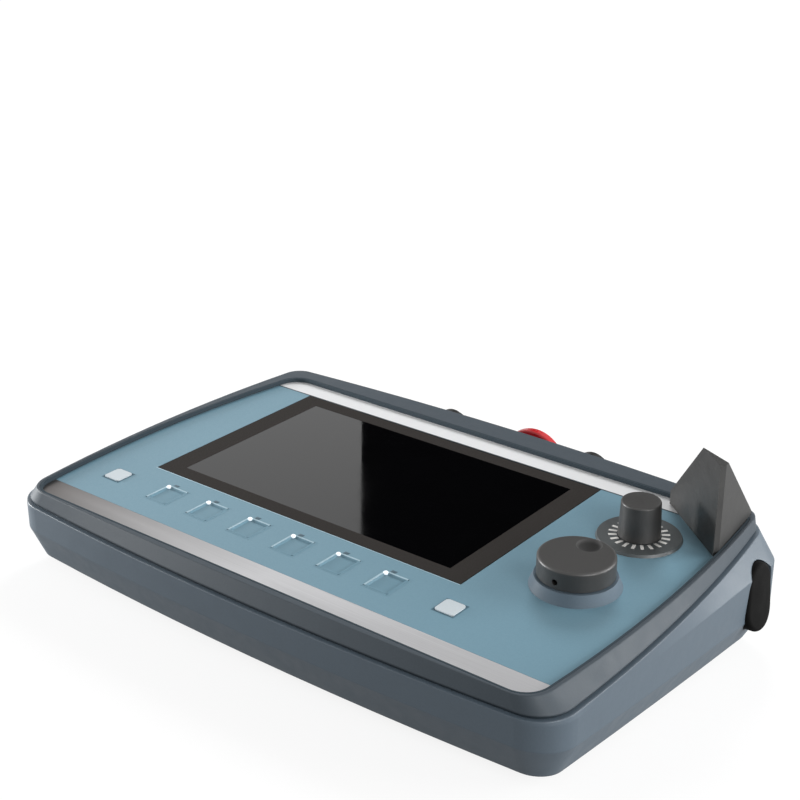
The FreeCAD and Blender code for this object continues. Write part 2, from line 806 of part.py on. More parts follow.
def build_lower_housing():
    """Wedge-shaped tub: upright wall, bend and bevel parallel to the sloping underside."""
    body = new_body("lower_housing")
    slope = "1 / cos(wedge_angle)"
    add_tub(body, "AdditiveLoft", "Outer", "-wall_flare", "0", slope)
    add_tub(body, "SubtractiveLoft", "Inner", "shell_wall - wall_flare", "floor_wall", slope)

    for name, x, drop, size, outer in rear_seats():
        seat = sketch_at(body, f"{name}Seat", y=outer, plane="XZ_Plane")
        add_circle(seat, x, f"-{drop}", size)
        pad(body, seat, f"{REAR_SEAT} - {INNER_SEAT}")

    for x, y in post_rows():
        post = sketch_at(body, "Post", z=POST_TOP)
        for spot in pairs(x, y):
            add_circle(post, *spot, "post_diameter")
        pad(body, post, f"{POST_TOP} - {floor_at(y)} - floor_wall / 2", down=True)

    for name, x, drop, size in rear_holes():
        hole = sketch_at(body, f"{name}Hole", y=REAR_FACE, plane="XZ_Plane")
        add_circle(hole, x, f"-{drop}", size)
        pocket(body, hole, "8 * shell_wall", both=True)

    for side, sign in SIDES:
        slot = trigger_sketch(body, f"{side}Opening", sign)
        add_trigger_slot(slot, "trigger_gap", sign)
        pocket(body, slot, "4 * trigger_reach", both=True)

    for x, y in post_rows():
        shank = sketch_at(body, "ShankHole", z=POST_TOP)
        head = sketch_at(body, "HeadHole", z=f"{floor_at(y)} + screw_recess")
        for spot in pairs(x, y):
            add_circle(shank, *spot, SCREW_HOLE)
            add_circle(head, *spot, "screw_head + 2 * fit_gap")
        pocket(body, shank, f"{POST_TOP} - {floor_at(y)}")
        pocket(body, head, "2 * screw_recess")

    cover_holes = underside_sketch(body, "CoverHoles")
    for spot in cover_screw_spots():
        add_circle(cover_holes, *spot, SCREW_HOLE)
    pocket(body, cover_holes, "4 * floor_wall", both=True)
    return body


def add_tub(body, kind, name, inset, lift, slope):
    """Loft from the parting plane over belly and bend to the underside, for the outer or inner face."""
    rim = sketch_at(body, f"{name}Rim", z=PARTING)
    add_outline(rim, inset)
    tilt = {"axis": (-1, 0, 0), "turn": "wedge_angle"}
    full = {"side": "side_bow", "side_y": "0"}
    belly = sketch_at(body, f"{name}Belly", z="-belly_drop", axis=(-1, 0, 0), turn="wedge_angle / 2")
    add_outline(belly, inset, "1 / cos(wedge_angle / 2)", rear="belly_corner", **full)
    bend = sketch_at(body, f"{name}Bend", z="bevel_height - center_depth", **tilt)
    add_outline(bend, inset, slope, rear="belly_corner", **full)
    floor = sketch_at(body, f"{name}Floor", z=f"{lift} - center_depth", **tilt)
    add_outline(floor, f"{inset} + bevel_inset", slope, rear="floor_corner", **full)
    loft(body, kind, [rim, belly, bend, floor])


def rear_seats():
    """Round seats on the rear wall, with the name, place, drop, diameter and outer level of each."""
    seats = [
        ("Estop", "0", "estop_drop", "estop_seat", REAR_SEAT),
        ("Gland", GLAND_X, "gland_drop", "gland_seat", GLAND_SEAT),
    ]
    for side, sign in SIDES:
        seats.append((f"{side}Button", f"{sign} * button_x", "button_drop", "button_seat", REAR_SEAT))
    return seats


def rear_holes():
    """Holes through the rear wall, with the name, place, drop and diameter of each."""
    gland_hole = "gland_thread + 2 * fit_gap"
    holes = [("Estop", "0", "estop_drop", "estop_hole"), ("Gland", GLAND_X, "gland_drop", gland_hole)]
    for side, sign in SIDES:
        holes.append((f"{side}Button", f"{sign} * button_x", "button_drop", "bezel_neck + 2 * fit_gap"))
    return holes


def trigger_sketch(body, name, sign, inside="0"):
    """Sketch square to the push direction of an enabling button, on or inside the face of its corner."""
    x = f"{sign} * ({TRIGGER_X} - {inside} * sin(trigger_turn))"
    y = f"({TRIGGER_Y} - {inside} * cos(trigger_turn))"
    return sketch_at(body, name, x=x, y=y, z="-trigger_drop",
                     plane="XZ_Plane", axis=(0, -sign, 0), turn="trigger_turn")


def add_trigger_slot(sketch, grow, sign):
    """Outline of an enabling button, grown all round, with its upper end slanting to the rear."""
    width = f"trigger_width + 2 * {grow}"
    height = f"trigger_height + 2 * {grow}"
    add_slot(sketch, width, height, f"({-sign} * trigger_slant)")


def cover_screw_spots():
    front = f"({COVER_FRONT} + cover_screw_inset)"
    rear = f"({COVER_REAR} - cover_screw_inset)"
    return pairs("cover_screw_x", front) + pairs("cover_screw_x", rear)


def build_housing_seal():
    """Gasket that lies in the dark line between the two shells."""
    body = new_body("housing_seal")
    ring = sketch_at(body, "SealRing", z=PARTING)
    add_outline(ring, "seal_inset")
    add_outline(ring, "seal_inset + seal_width")
    pad(body, ring, "seal_height")


def overlay_slice(label, front, rear):
    """Slice of the overlay's outline between two depths, either of which may be open."""
    body = new_body(label)
    plan = sketch_at(body, f"{label}Plan", z=SEAT_FLOOR)
    add_overlay_outline(plan, "0")
    pad(body, plan, "overlay_thick")
    length = "3 * body_half_length"
    reach = "(2 * body_half_depth)"
    if front:
        trim = sketch_at(body, f"{label}Front")
        add_rectangle(trim, "0", f"{front} - {reach} / 2", length, reach)
        pocket(body, trim, "overlay_thick")
    if rear:
        trim = sketch_at(body, f"{label}Rear")
        add_rectangle(trim, "0", f"{rear} + {reach} / 2", length, reach)
        pocket(body, trim, "overlay_thick")
    return body


def build_overlay():
    """Blue overlay with the windows for glass, keys and rotary controls, strips beside it, bead round it."""
    overlay_slice("silver_strip", None, STRIP_REAR)
    overlay_slice("header_strip", HEADER_FRONT, None)
    body = overlay_slice("front_overlay", f"({STRIP_REAR} + touch_gap)", f"({HEADER_FRONT} - touch_gap)")
    windows = sketch_at(body, "OverlayWindows")
    add_glass(windows, "touch_gap")
    for _, x, length, depth, _ in key_list():
        add_rectangle(windows, x, KEY_ROW, f"{length} + 2 * key_gap", f"{depth} + 2 * key_gap")
    add_circle(windows, ROTARY_X, "wheel_y", nut_room("wheel_nut_flats"))
    add_circle(windows, ROTARY_X, DIAL_Y, nut_room("knob_nut_flats"))
    for spot in guard_screw_spots():
        add_circle(windows, *spot, SCREW_HOLE)
    pocket(body, windows, "overlay_thick")

    bead = new_body("overlay_bead")
    ring = sketch_at(bead, "BeadRing", z=SEAT_FLOOR)
    add_overlay_outline(ring, "touch_gap")
    add_overlay_outline(ring, "(touch_gap + bead_width)")
    pad(bead, ring, "overlay_thick + bead_rise")


def nut_room(flats):
    """Diameter of the round space that a nut turns in."""
    return f"({flats} / cos(30) + nut_room)"


def build_screen():
    """Touch glass, display module behind it, sheet-metal frame, main board and their screws."""
    middle = ("display_x", "display_y")
    box_body("touch_glass", *middle, "-glass_drop", "glass_length", "glass_depth", "glass_thick")

    module = box_body("display_module", *middle, PLATE_BACK, MODULE_LENGTH, MODULE_DEPTH, "module_thick")
    face = sketch_at(module, "ModuleFace", z=PLATE_BACK)
    face_length = "screen_length + 2 * screen_margin - 2 * fit_gap"
    face_depth = "screen_depth + 2 * screen_margin - 2 * fit_gap"
    add_rectangle(face, *middle, face_length, face_depth)
    pad(module, face, f"{GLASS_BACK} - fit_gap - {PLATE_BACK}")

    frame_length = f"{MODULE_LENGTH} + 2 * frame_tab"
    frame = box_body("display_frame", *middle, MODULE_BACK, frame_length, MODULE_DEPTH, "frame_thick")
    standoffs = sketch_at(frame, "Standoffs", z=FRAME_BACK)
    for spot in board_screw_spots():
        add_circle(standoffs, *spot, "boss_diameter")
    pad(frame, standoffs, "board_standoff", down=True)
    holes = sketch_at(frame, "FrameHoles", z=MODULE_BACK)
    for spot in frame_screw_spots():
        add_circle(holes, *spot, SCREW_HOLE)
    pocket(frame, holes, "2 * frame_thick")
    threads = sketch_at(frame, "StandoffThreads", z=BOARD_FRONT)
    for spot in board_screw_spots():
        add_circle(threads, *spot, SCREW_HOLE)
    pocket(frame, threads, "board_standoff", up=True)
    screw_group("frame_screws", frame_screw_spots(), FRAME_BACK, f"{MODULE_BACK} + module_thick / 2")

    board = box_body("main_board", *middle, BOARD_FRONT, "board_length", "board_depth", "board_thick")
    back = f"({BOARD_FRONT} - board_thick)"
    chip = sketch_at(board, "Chip", z=back)
    add_rectangle(chip, *middle, "chip_size", "chip_size")
    pad(board, chip, "chip_height", down=True)
    plug = sketch_at(board, "Plug", z=back)
    plug_y = "(display_y + board_depth / 2 - plug_depth)"
    add_rectangle(plug, "display_x", plug_y, "plug_length", "plug_depth")
    pad(board, plug, "plug_height", down=True)
    holes = sketch_at(board, "BoardHoles", z=BOARD_FRONT)
    for spot in board_screw_spots():
        add_circle(holes, *spot, SCREW_HOLE)
    pocket(board, holes, "2 * board_thick")
    screw_group("board_screws", board_screw_spots(), back, f"{BOARD_FRONT} + board_standoff / 2")


def build_keys():
    """Keys with a thin rim round a dish with sloping walls, their board and the switch domes on it."""
    for label, x, length, depth, rise in key_list():
        body = new_body(label)
        cap = sketch_at(body, "Cap", z=KEY_BASE)
        add_rectangle(cap, x, KEY_ROW, length, depth)
        block = pad(body, cap, f"{rise} - {KEY_BASE}")
        fillet(body, block, "key_corner", is_upright)
        if label.startswith("function"):
            mouth = sketch_at(body, "DishMouth", z=rise)
            add_rectangle(mouth, x, KEY_ROW, f"{length} - 2 * key_rim", f"{depth} - 2 * key_rim")
            floor = sketch_at(body, "DishFloor", z=f"{rise} - key_dish")
            margin = "2 * (key_rim + key_dish)"
            add_rectangle(floor, x, KEY_ROW, f"{length} - {margin}", f"{depth} - {margin}")
            loft(body, "SubtractiveLoft", [mouth, floor])
        plunger = sketch_at(body, "Plunger", z=KEY_BASE)
        add_circle(plunger, x, KEY_ROW, "plunger_diameter")
        pad(body, plunger, f"{KEY_BASE} + rim_depth + plunger_reach", down=True)

    length = "2 * (white_key_offset + keypad_end)"
    box_body("keypad_board", "display_x", KEY_ROW, KEYPAD_FRONT, length, "keypad_depth", "board_thick")
    domes = new_body("key_switches")
    plan = sketch_at(domes, "Domes", z=KEYPAD_FRONT)
    for _, x, _, _, _ in key_list():
        add_circle(plan, x, KEY_ROW, "dome_diameter")
    pad(domes, plan, "dome_height")


def rotary_shaft(label, x, y, top):
    """Round shaft from inside the switch body up to the level top."""
    body = new_body(label)
    plan = sketch_at(body, f"{label}Plan", x=x, y=y, z=f"{PLATE_BACK} - shaft_tail")
    add_circle(plan, "0", "0", "shaft_diameter")
    pad(body, plan, f"{top} - {PLATE_BACK} + shaft_tail")


def rotary_base(label, x, y, side, height, bush, bush_top):
    """Square switch body below the front plate, with a bush through it that carries the shaft."""
    body = box_body(label, x, y, PLATE_BACK, side, side, height)
    neck = sketch_at(body, f"{label}Bush", x=x, y=y, z=PLATE_BACK)
    add_circle(neck, "0", "0", bush)
    pad(body, neck, f"{bush_top} - {PLATE_BACK}")
    bore = sketch_at(body, f"{label}Bore", x=x, y=y, z=bush_top)
    add_circle(bore, "0", "0", "shaft_diameter + 2 * shaft_fit")
    pocket(body, bore, f"{bush_top} - {PLATE_BACK} + shaft_tail + fit_gap")


def rotary_nut(label, x, y, flats, bush):
    body = new_body(label)
    plan = sketch_at(body, f"{label}Plan", x=x, y=y, z=SEAT_FLOOR)
    add_hexagon(plan, flats)
    add_circle(plan, "0", "0", f"{bush} + 2 * touch_gap")
    pad(body, plan, "nut_height")


def build_handwheel():
    """Handwheel on its cone-shaped collar, with shaft, encoder and nut."""
    nut_top = f"({SEAT_FLOOR} + nut_height)"
    bush_top = f"({nut_top} + fit_gap)"
    wheel_base = "(collar_height + wheel_lift)"
    wheel_top = f"({wheel_base} + wheel_height)"
    shaft_top = f"({wheel_base} + shaft_engage)"
    room = f"{nut_room('wheel_nut_flats')} / 2"
    neck = "(shaft_diameter / 2 + fit_gap)"
    roof = f"({bush_top} + fit_gap)"
    turned_body("handwheel_collar", ROTARY_X, "wheel_y", [
        (room, "0"),
        ("collar_diameter / 2", "0"),
        ("collar_top / 2", "collar_height"),
        (neck, "collar_height"),
        (neck, roof),
        (room, roof),
    ])
    bore = "(shaft_diameter / 2 + shaft_fit)"
    wheel = turned_body("handwheel_knob", ROTARY_X, "wheel_y", [
        ("0", f"{shaft_top} + shaft_fit"),
        (bore, f"{shaft_top} + shaft_fit"),
        (bore, wheel_base),
        ("wheel_diameter / 2", wheel_base),
        ("wheel_diameter / 2", wheel_top),
        ("0", wheel_top),
    ])
    doc.recompute()
    level = number(wheel_top)
    fillet(wheel, wheel.Tip, "wheel_round", lambda edge: lies_at(edge, level))
    dimple = wheel.newObject("PartDesign::SubtractiveSphere", "Dimple")
    dimple_y = "wheel_y + dimple_offset"
    dimple_z = f"{wheel_top} + dimple_radius - dimple_depth"
    attach(dimple, wheel, "XY_Plane", ROTARY_X, dimple_y, dimple_z, (0, 0, 1), "0")
    bind(dimple, "Radius", "dimple_radius")
    set_screw = sketch_at(wheel, "SetScrew", x=ROTARY_X, y="wheel_y - wheel_diameter / 2",
                          z=f"{wheel_base} + wheel_height / 3", plane="XZ_Plane")
    add_circle(set_screw, "0", "0", "set_screw_diameter")
    pocket(wheel, set_screw, "2 * set_screw_depth", both=True)
    spot = (ROTARY_X, "wheel_y")
    rotary_shaft("handwheel_shaft", *spot, shaft_top)
    rotary_base("handwheel_encoder", *spot, "encoder_side", "encoder_height", "wheel_bush", bush_top)
    rotary_nut("handwheel_nut", *spot, "wheel_nut_flats", "wheel_bush")


def build_override():
    """Override knob over its dial, with shaft, rotary switch and nut."""
    nut_top = f"({SEAT_FLOOR} + nut_height)"
    bush_top = f"({nut_top} + fit_gap)"
    knob_base = "(dial_thick + knob_lift)"
    knob_crest = f"({knob_base} + knob_height)"
    shaft_top = f"({bush_top} + fit_gap + shaft_engage)"
    roof = f"({bush_top} + fit_gap)"
    room = f"{nut_room('knob_nut_flats')} / 2"
    turned_body("override_dial", ROTARY_X, DIAL_Y, [
        (room, "0"),
        ("dial_diameter / 2", "0"),
        ("dial_diameter / 2 - dial_thick / 2", "dial_thick"),
        (room, "dial_thick"),
    ])
    bore = "(shaft_diameter / 2 + shaft_fit)"
    hollow = "(knob_diameter / 2 - knob_wall)"
    knob = turned_body("override_knob", ROTARY_X, DIAL_Y, [
        ("0", f"{shaft_top} + shaft_fit"),
        (bore, f"{shaft_top} + shaft_fit"),
        (bore, roof),
        (hollow, roof),
        (hollow, knob_base),
        ("knob_diameter / 2", knob_base),
        ("knob_top / 2", knob_crest),
        ("0", knob_crest),
    ])
    doc.recompute()
    level = number(knob_crest)
    fillet(knob, knob.Tip, "knob_round", lambda edge: lies_at(edge, level))
    pointer = sketch_at(knob, "Pointer", z=knob_base)
    pointer_y = f"{DIAL_Y} + knob_diameter / 2"
    add_rectangle(pointer, ROTARY_X, pointer_y, "pointer_width", "2 * pointer_depth")
    pocket(knob, pointer, "knob_height / 2", up=True)
    spot = (ROTARY_X, DIAL_Y)
    rotary_shaft("override_shaft", *spot, shaft_top)
    rotary_base("override_switch", *spot, "switch_side", "switch_height", "knob_bush", bush_top)
    rotary_nut("override_nut", *spot, "knob_nut_flats", "knob_bush")


def build_guard():
    """Faceted guard block in the rear right corner, with a slanting face towards the controls."""
    body = new_body("corner_guard")
    rear = f"({OVERLAY_REAR} + guard_overhang)"
    front = f"({OVERLAY_REAR} - guard_depth)"
    right = overlay_edge(f"({front} + guard_bevel)")
    left = f"({right} - guard_length)"
    heel_x = overlay_edge(rear)
    toe_x = f"({right} - guard_lean)"
    end_y = f"({OVERLAY_REAR} - guard_end)"
    face_angle = "atan((guard_depth - guard_end) / (guard_length - guard_lean))"
    plan = sketch_at(body, "GuardPlan")
    add_polygon(plan, [
        (left, end_y),
        (toe_x, front),
        (right, f"{front} + guard_bevel"),
        (heel_x, rear),
        (left, rear),
    ])
    block = pad(body, plan, "guard_height")
    corner = FreeCAD.Vector(number(heel_x), number(rear), 0)
    fillet(body, block, "guard_corner", lambda edge: is_upright(edge) and near_axis(edge, corner))

    apex_x = f"({toe_x} - guard_top_length * cos({face_angle}))"
    apex_y = f"({front} + guard_top_length * sin({face_angle}))"
    tip_y = f"({front} + guard_top_width)"
    face_run = f"((guard_length - guard_lean) / cos({face_angle}) - guard_top_length)"
    end_slope = f"atan((guard_height - guard_shoulder) / {face_run})"
    slope_cut(body, "EndSlope", apex_x, apex_y, face_angle, end_slope, -1)

    back_turn = f"atan(({right} - {apex_x}) / ({apex_y} - {tip_y}))"
    back_run = f"(({rear} - {tip_y}) * sin({back_turn}))"
    back_slope = f"atan((guard_height - guard_heel) / {back_run})"
    slope_cut(body, "BackSlope", apex_x, apex_y, back_turn, back_slope, 1)

    rebate = sketch_at(body, "RimRebate")
    rebate_y = f"({OVERLAY_REAR} - overlay_guard_corner + guard_depth / 2)"
    add_rectangle(rebate, right, rebate_y, "3 * guard_length", "guard_depth")
    pocket(body, rebate, "rim_height + touch_gap", up=True)

    bores = sketch_at(body, "GuardBores")
    for spot in guard_screw_spots():
        add_circle(bores, *spot, SCREW_HOLE)
    pocket(body, bores, "guard_screw_reach + fit_gap", up=True)
    screw_group("guard_screws", guard_screw_spots(), PLATE_BACK, "guard_screw_reach")


def overlay_edge(y):
    """Place along x of the overlay's bowed right edge at the depth y."""
    fall = f"({y} - overlay_right_bow_y)"
    return f"({OVERLAY_RIGHT} - overlay_right_bow + sqrt(overlay_right_bow ^ 2 - {fall} ^ 2))"


def near_axis(edge, corner):
    point = edge.Vertexes[0].Point
    return math.hypot(point.x - corner.x, point.y - corner.y) < 0.01


def slope_cut(body, name, x, y, turn, slope, sign):
    """Cut away what lies above a plane that falls from the point x, y at the guard's full height.

    The plane falls along the direction that is turned from x, towards the rear for sign 1.
    """
    axis = (0, sign, 0)
    cut = sketch_at(body, name, x=x, y=y, z="guard_height", plane="XZ_Plane", axis=axis, turn=turn)
    run = "(2 * guard_length)"
    end = f"{sign} * {run}"
    top = "guard_height"
    add_polygon(cut, [("0", "0"), (end, f"-{run} * tan({slope})"), (end, top), ("0", top)])
    pocket(body, cut, "6 * guard_length", both=True)


def build_estop():
    """Emergency stop in the middle of the rear wall: collar, mushroom head, stem, nut and contacts."""
    drop = "-estop_drop"
    thread_end = f"({INNER_SEAT} - estop_nut_height - fit_gap)"
    bore = "(estop_stem_diameter / 2 + fit_gap)"
    thread = "(estop_hole / 2 - touch_gap)"
    crest = f"({REAR_SEAT} + estop_collar_height)"
    floor = f"({REAR_SEAT} + estop_collar_floor)"
    rear_turned_body("estop_collar", "0", drop, [
        (bore, thread_end),
        (thread, thread_end),
        (thread, REAR_SEAT),
        ("estop_collar_diameter / 2", REAR_SEAT),
        ("estop_collar_diameter / 2", f"{REAR_SEAT} + estop_collar_height / 2"),
        ("estop_collar_bore / 2 + estop_collar_floor", crest),
        ("estop_collar_bore / 2", crest),
        ("estop_collar_bore / 2", floor),
        (bore, floor),
    ])
    rear_turned_body("estop_nut", "0", drop, [
        ("estop_hole / 2", f"{INNER_SEAT} - estop_nut_height"),
        ("estop_nut_diameter / 2", f"{INNER_SEAT} - estop_nut_height"),
        ("estop_nut_diameter / 2", INNER_SEAT),
        ("estop_hole / 2", INNER_SEAT),
    ])
    head_start = f"({REAR_SEAT} + estop_head_start)"
    brim = f"({REAR_SEAT} + estop_head_brim)"
    edge = f"({brim} + estop_head_edge)"
    head_end = f"({REAR_SEAT} + estop_head_height)"
    stem_end = f"({head_start} + estop_stem_engage)"
    sleeve = "(estop_stem_diameter / 2 + shaft_fit)"
    head = rear_turned_body("estop_head", "0", drop, [
        ("0", f"{stem_end} + shaft_fit"),
        (sleeve, f"{stem_end} + shaft_fit"),
        (sleeve, head_start),
        ("estop_head_neck / 2", head_start),
        ("estop_head_neck / 2", f"{brim} - estop_head_edge / 2"),
        ("estop_head_diameter / 2", brim),
        ("estop_head_diameter / 2", edge),
        ("estop_head_diameter / 2 - estop_head_edge", head_end),
        ("0", head_end),
    ])
    doc.recompute()
    brim_radius = number("estop_head_diameter / 2 - estop_head_edge")
    fillet(head, head.Tip, "estop_head_edge / 3", lambda ring: is_wide_ring(ring, brim_radius - 1))
    rear_turned_body("estop_stem", "0", drop, [
        ("0", f"{thread_end} - estop_stem_tail"),
        ("estop_stem_diameter / 2", f"{thread_end} - estop_stem_tail"),
        ("estop_stem_diameter / 2", stem_end),
        ("0", stem_end),
    ])
    block = new_body("estop_contacts")
    face = sketch_at(block, "ContactFace", y=thread_end, plane="XZ_Plane")
    add_rectangle(face, "0", drop, "estop_block_length", "estop_block_height")
    pad(block, face, f"{thread_end} - display_y - {MODULE_DEPTH} / 2 - estop_block_gap")
    well = sketch_at(block, "ContactWell", y=thread_end, plane="XZ_Plane")
    add_circle(well, "0", drop, "estop_stem_diameter + 2 * fit_gap")
    pocket(block, well, "estop_stem_tail + estop_travel + fit_gap", up=True)


def is_wide_ring(edge, radius):
    """Round edge that is larger than the radius."""
    return hasattr(edge.Curve, "Radius") and edge.Curve.Radius > radius


def build_rear_buttons():
    """Round push buttons beside the emergency stop: bezel, cap on its stem, switch body."""
    drop = "-button_drop"
    neck_end = f"({REAR_SEAT} - bezel_neck_length)"
    bore = "(button_stem / 2 + fit_gap)"
    ring = "(bezel_diameter / 2 - bezel_ring)"
    crest = f"({REAR_SEAT} + bezel_height)"
    cap_base = f"({REAR_SEAT} + bezel_floor + button_travel + touch_gap)"
    for side, sign in SIDES:
        x = f"{sign} * button_x"
        rear_turned_body(f"{side}_button_bezel", x, drop, [
            (bore, neck_end),
            ("bezel_neck / 2", neck_end),
            ("bezel_neck / 2", REAR_SEAT),
            ("bezel_diameter / 2", REAR_SEAT),
            ("bezel_diameter / 2", f"{crest} - bezel_floor"),
            (f"{ring} + fit_gap", crest),
            (ring, crest),
            (ring, f"{REAR_SEAT} + bezel_floor"),
            (bore, f"{REAR_SEAT} + bezel_floor"),
        ])
        cap_radius = f"({ring} - fit_gap)"
        stem_end = f"({neck_end} - button_travel)"
        cap_top = f"({cap_base} + button_cap_height)"
        rear_turned_body(f"{side}_button_cap", x, drop, [
            ("0", stem_end),
            ("button_stem / 2", stem_end),
            ("button_stem / 2", cap_base),
            (cap_radius, cap_base),
            (cap_radius, f"{cap_top} - bezel_floor"),
            (f"{cap_radius} - bezel_floor", cap_top),
            ("0", cap_top),
        ])
        body_radius = "button_switch_diameter / 2"
        well = f"({stem_end} - button_travel - fit_gap)"
        rear_turned_body(f"{side}_button_switch", x, drop, [
            ("0", f"{neck_end} - button_switch_length"),
            (body_radius, f"{neck_end} - button_switch_length"),
            (body_radius, neck_end),
            (bore, neck_end),
            (bore, well),
            ("0", well),
        ])


def build_triggers():
    """Rubber-faced enabling buttons in the rear corners and the switches that they press."""
    for side, sign in SIDES:
        body = new_body(f"enabling_button_{side}")
        slot = trigger_sketch(body, f"{side}Button", sign)
        add_trigger_slot(slot, "0", sign)
        pad(body, slot, "2 * trigger_reach").Midplane = True
        hub_x = f"{sign} * ({TRIGGER_X} + trigger_proud - trigger_crown)"
        face = sketch_at(body, f"{side}Crown", x=hub_x, y=TRIGGER_Y, z="-trigger_drop",
                         axis=(0, -sign, 0), turn="trigger_lean")
        add_circle(face, "0", "0", "4 * trigger_crown")
        add_circle(face, "0", "0", "2 * trigger_crown")
        shaped = pocket(body, face, "2 * trigger_height", both=True)
        doc.recompute()
        fillet(body, shaped, "trigger_round", lambda edge: is_on_crown(edge, sign))
        flange = trigger_sketch(body, f"{side}Flange", sign, "trigger_reach")
        add_trigger_slot(flange, "trigger_flange", sign)
        pad(body, flange, "trigger_flange_thick")

        switch = new_body(f"enabling_switch_{side}")
        plan = sketch_at(switch, f"{side}Switch", x=f"{sign} * {TRIGGER_X}", y=TRIGGER_Y, z=PLATE_BACK,
                         axis=(0, 0, -sign), turn="trigger_turn")
        front = "(-trigger_reach - trigger_flange_thick - trigger_travel - fit_gap)"
        back = f"({front} - trigger_switch_depth)"
        half = "trigger_switch_width / 2"
        add_polygon(plan, [(f"-{half}", back), (half, back), (half, front), (f"-{half}", front)])
        pad(switch, plan, "trigger_switch_height", down=True)


def is_on_crown(edge, side):
    """Tell whether an edge borders the round outer face of an enabling button, on the side -1 or 1."""
    inner = number(f"{TRIGGER_X} - trigger_reach / 2")
    return all(side * vertex.Point.x > inner for vertex in edge.Vertexes)


def build_gland():
    """Cable inlet on the rear wall, with its lock nut inside."""
    drop = "-gland_drop"
    thread_end = f"({GLAND_SEAT} - gland_thread_length)"
    flange_top = f"({GLAND_SEAT} + gland_flange_height)"
    tip = f"({GLAND_SEAT} + gland_length)"
    rear_turned_body("cable_gland", GLAND_X, drop, [
        ("gland_bore / 2", thread_end),
        ("gland_thread / 2", thread_end),
        ("gland_thread / 2", GLAND_SEAT),
        ("gland_flange / 2", GLAND_SEAT),
        ("gland_flange / 2", flange_top),
        ("gland_dome / 2", flange_top),
        ("gland_dome / 2", f"({flange_top} + {tip}) / 2"),
        ("gland_tip / 2", tip),
        ("gland_bore / 2", tip),
    ])
    bore = "(gland_thread / 2 + touch_gap)"
    rear_turned_body("gland_nut", GLAND_X, drop, [
        (bore, f"{GLAND_INNER} - gland_nut_height"),
        ("gland_nut_diameter / 2", f"{GLAND_INNER} - gland_nut_height"),
        ("gland_nut_diameter / 2", GLAND_INNER),
        (bore, GLAND_INNER),
    ])


def build_underside():
    """Cover below the rear half, rubber feet and the screws of the housing."""
    cover = new_body("rear_cover")
    plan = underside_sketch(cover, "CoverPlan")
    length = "2 * (body_half_length - cover_side_inset)"
    add_rectangle(plan, "0", f"{COVER_REAR} - cover_depth / 2", length, "cover_depth")
    plate = pad(cover, plan, "cover_thick", down=True)
    rounded = fillet(cover, plate, "cover_corner", lambda edge: edge.Length < number("cover_thick") + 0.01)
    doc.recompute()
    lowest = max(rounded.Shape.Faces, key=lambda face: -underside_depth(face.CenterOfMass))
    chamfer(cover, rounded, "cover_bevel", lambda edge: any(edge.isSame(other) for other in lowest.Edges))
    heads = underside_sketch(cover, "CoverHeads", "-cover_thick")
    holes = underside_sketch(cover, "CoverScrewHoles", "-cover_thick")
    for spot in cover_screw_spots():
        add_circle(heads, *spot, "screw_head + 2 * fit_gap")
        add_circle(holes, *spot, SCREW_HOLE)
    pocket(cover, heads, "screw_head_height", up=True)
    pocket(cover, holes, "2 * cover_thick", up=True)

    screws = new_body("cover_screws")
    head_plan = underside_sketch(screws, "CoverScrewHeads", "screw_head_height - cover_thick")
    shank_plan = underside_sketch(screws, "CoverScrewShanks", "screw_head_height - cover_thick")
    for spot in cover_screw_spots():
        add_circle(head_plan, *spot, "screw_head")
        add_circle(shank_plan, *spot, "screw_diameter")
    pad(screws, head_plan, "screw_head_height", down=True)
    pad(screws, shank_plan, "cover_thick + floor_wall")

    rows = (
        ("front_feet", "(foot_front_inset - body_half_depth)", "0"),
        ("rear_feet", "(body_half_depth - foot_rear_inset)", "-cover_thick"),
    )
    for label, place, lift in rows:
        feet = new_body(label)
        plan = underside_sketch(feet, f"{label}Plan", lift)
        for spot in pairs(FOOT_X, place):
            add_circle(plan, *spot, "foot_diameter")
        pad(feet, plan, f"foot_height + {lift}", down=True)

    screws = new_body("housing_screws")
    for x, y in post_rows():
        seat = f"({floor_at(y)} + screw_recess)"
        heads = sketch_at(screws, "PostHeads", z=seat)
        shanks = sketch_at(screws, "PostShanks", z=seat)
        for spot in pairs(x, y):
            add_circle(heads, *spot, "screw_head")
            add_circle(shanks, *spot, "screw_diameter")
        pad(screws, heads, "screw_head_height", down=True)
        pad(screws, shanks, f"{PLATE_BACK} - {seat}")


def underside_depth(point):
    """Distance of a point below the sloping underside."""
    slope = math.radians(number("wedge_angle"))
    return -(point.z + number("center_depth")) * math.cos(slope) - point.y * math.sin(slope)


def check_model():
    """Stop on any failed object, empty or faulty solid, or cut that removed nothing."""
    for item in doc.Objects:
        if "Invalid" in item.State or "Error" in item.State:
            raise RuntimeError(f"{item.Name} failed: {item.State}")
    for item in doc.Objects:
        if item.TypeId == "PartDesign::Pocket":
            if item.Shape.Volume > item.BaseFeature.Shape.Volume - 1e-3:
                raise RuntimeError(f"{item.Name} cuts nothing")
    for body in sub_parts():
        if body.Shape.isNull() or not body.Shape.isValid() or not body.Shape.Solids:
            raise RuntimeError(f"{body.Label} has no sound solid")


def sub_parts():
    return [item for item in doc.Objects if item.TypeId == "PartDesign::Body"]


def main():
    build_upper_housing()
    build_lower_housing()
    build_housing_seal()
    build_overlay()
    build_screen()
    build_keys()
    build_handwheel()
    build_override()
    build_guard()
    build_estop()
    build_rear_buttons()
    build_triggers()
    build_gland()
    build_underside()
    doc.recompute()
    check_model()
    os.makedirs("parts", exist_ok=True)
    for body in sub_parts():
        body.Shape.exportStep(f"parts/{body.Label}.step")
        print(body.Label, len(body.Shape.Solids), round(body.Shape.Volume, 1))


main()
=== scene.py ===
"""Looks of a hand-held operator panel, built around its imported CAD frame."""

import json
import math

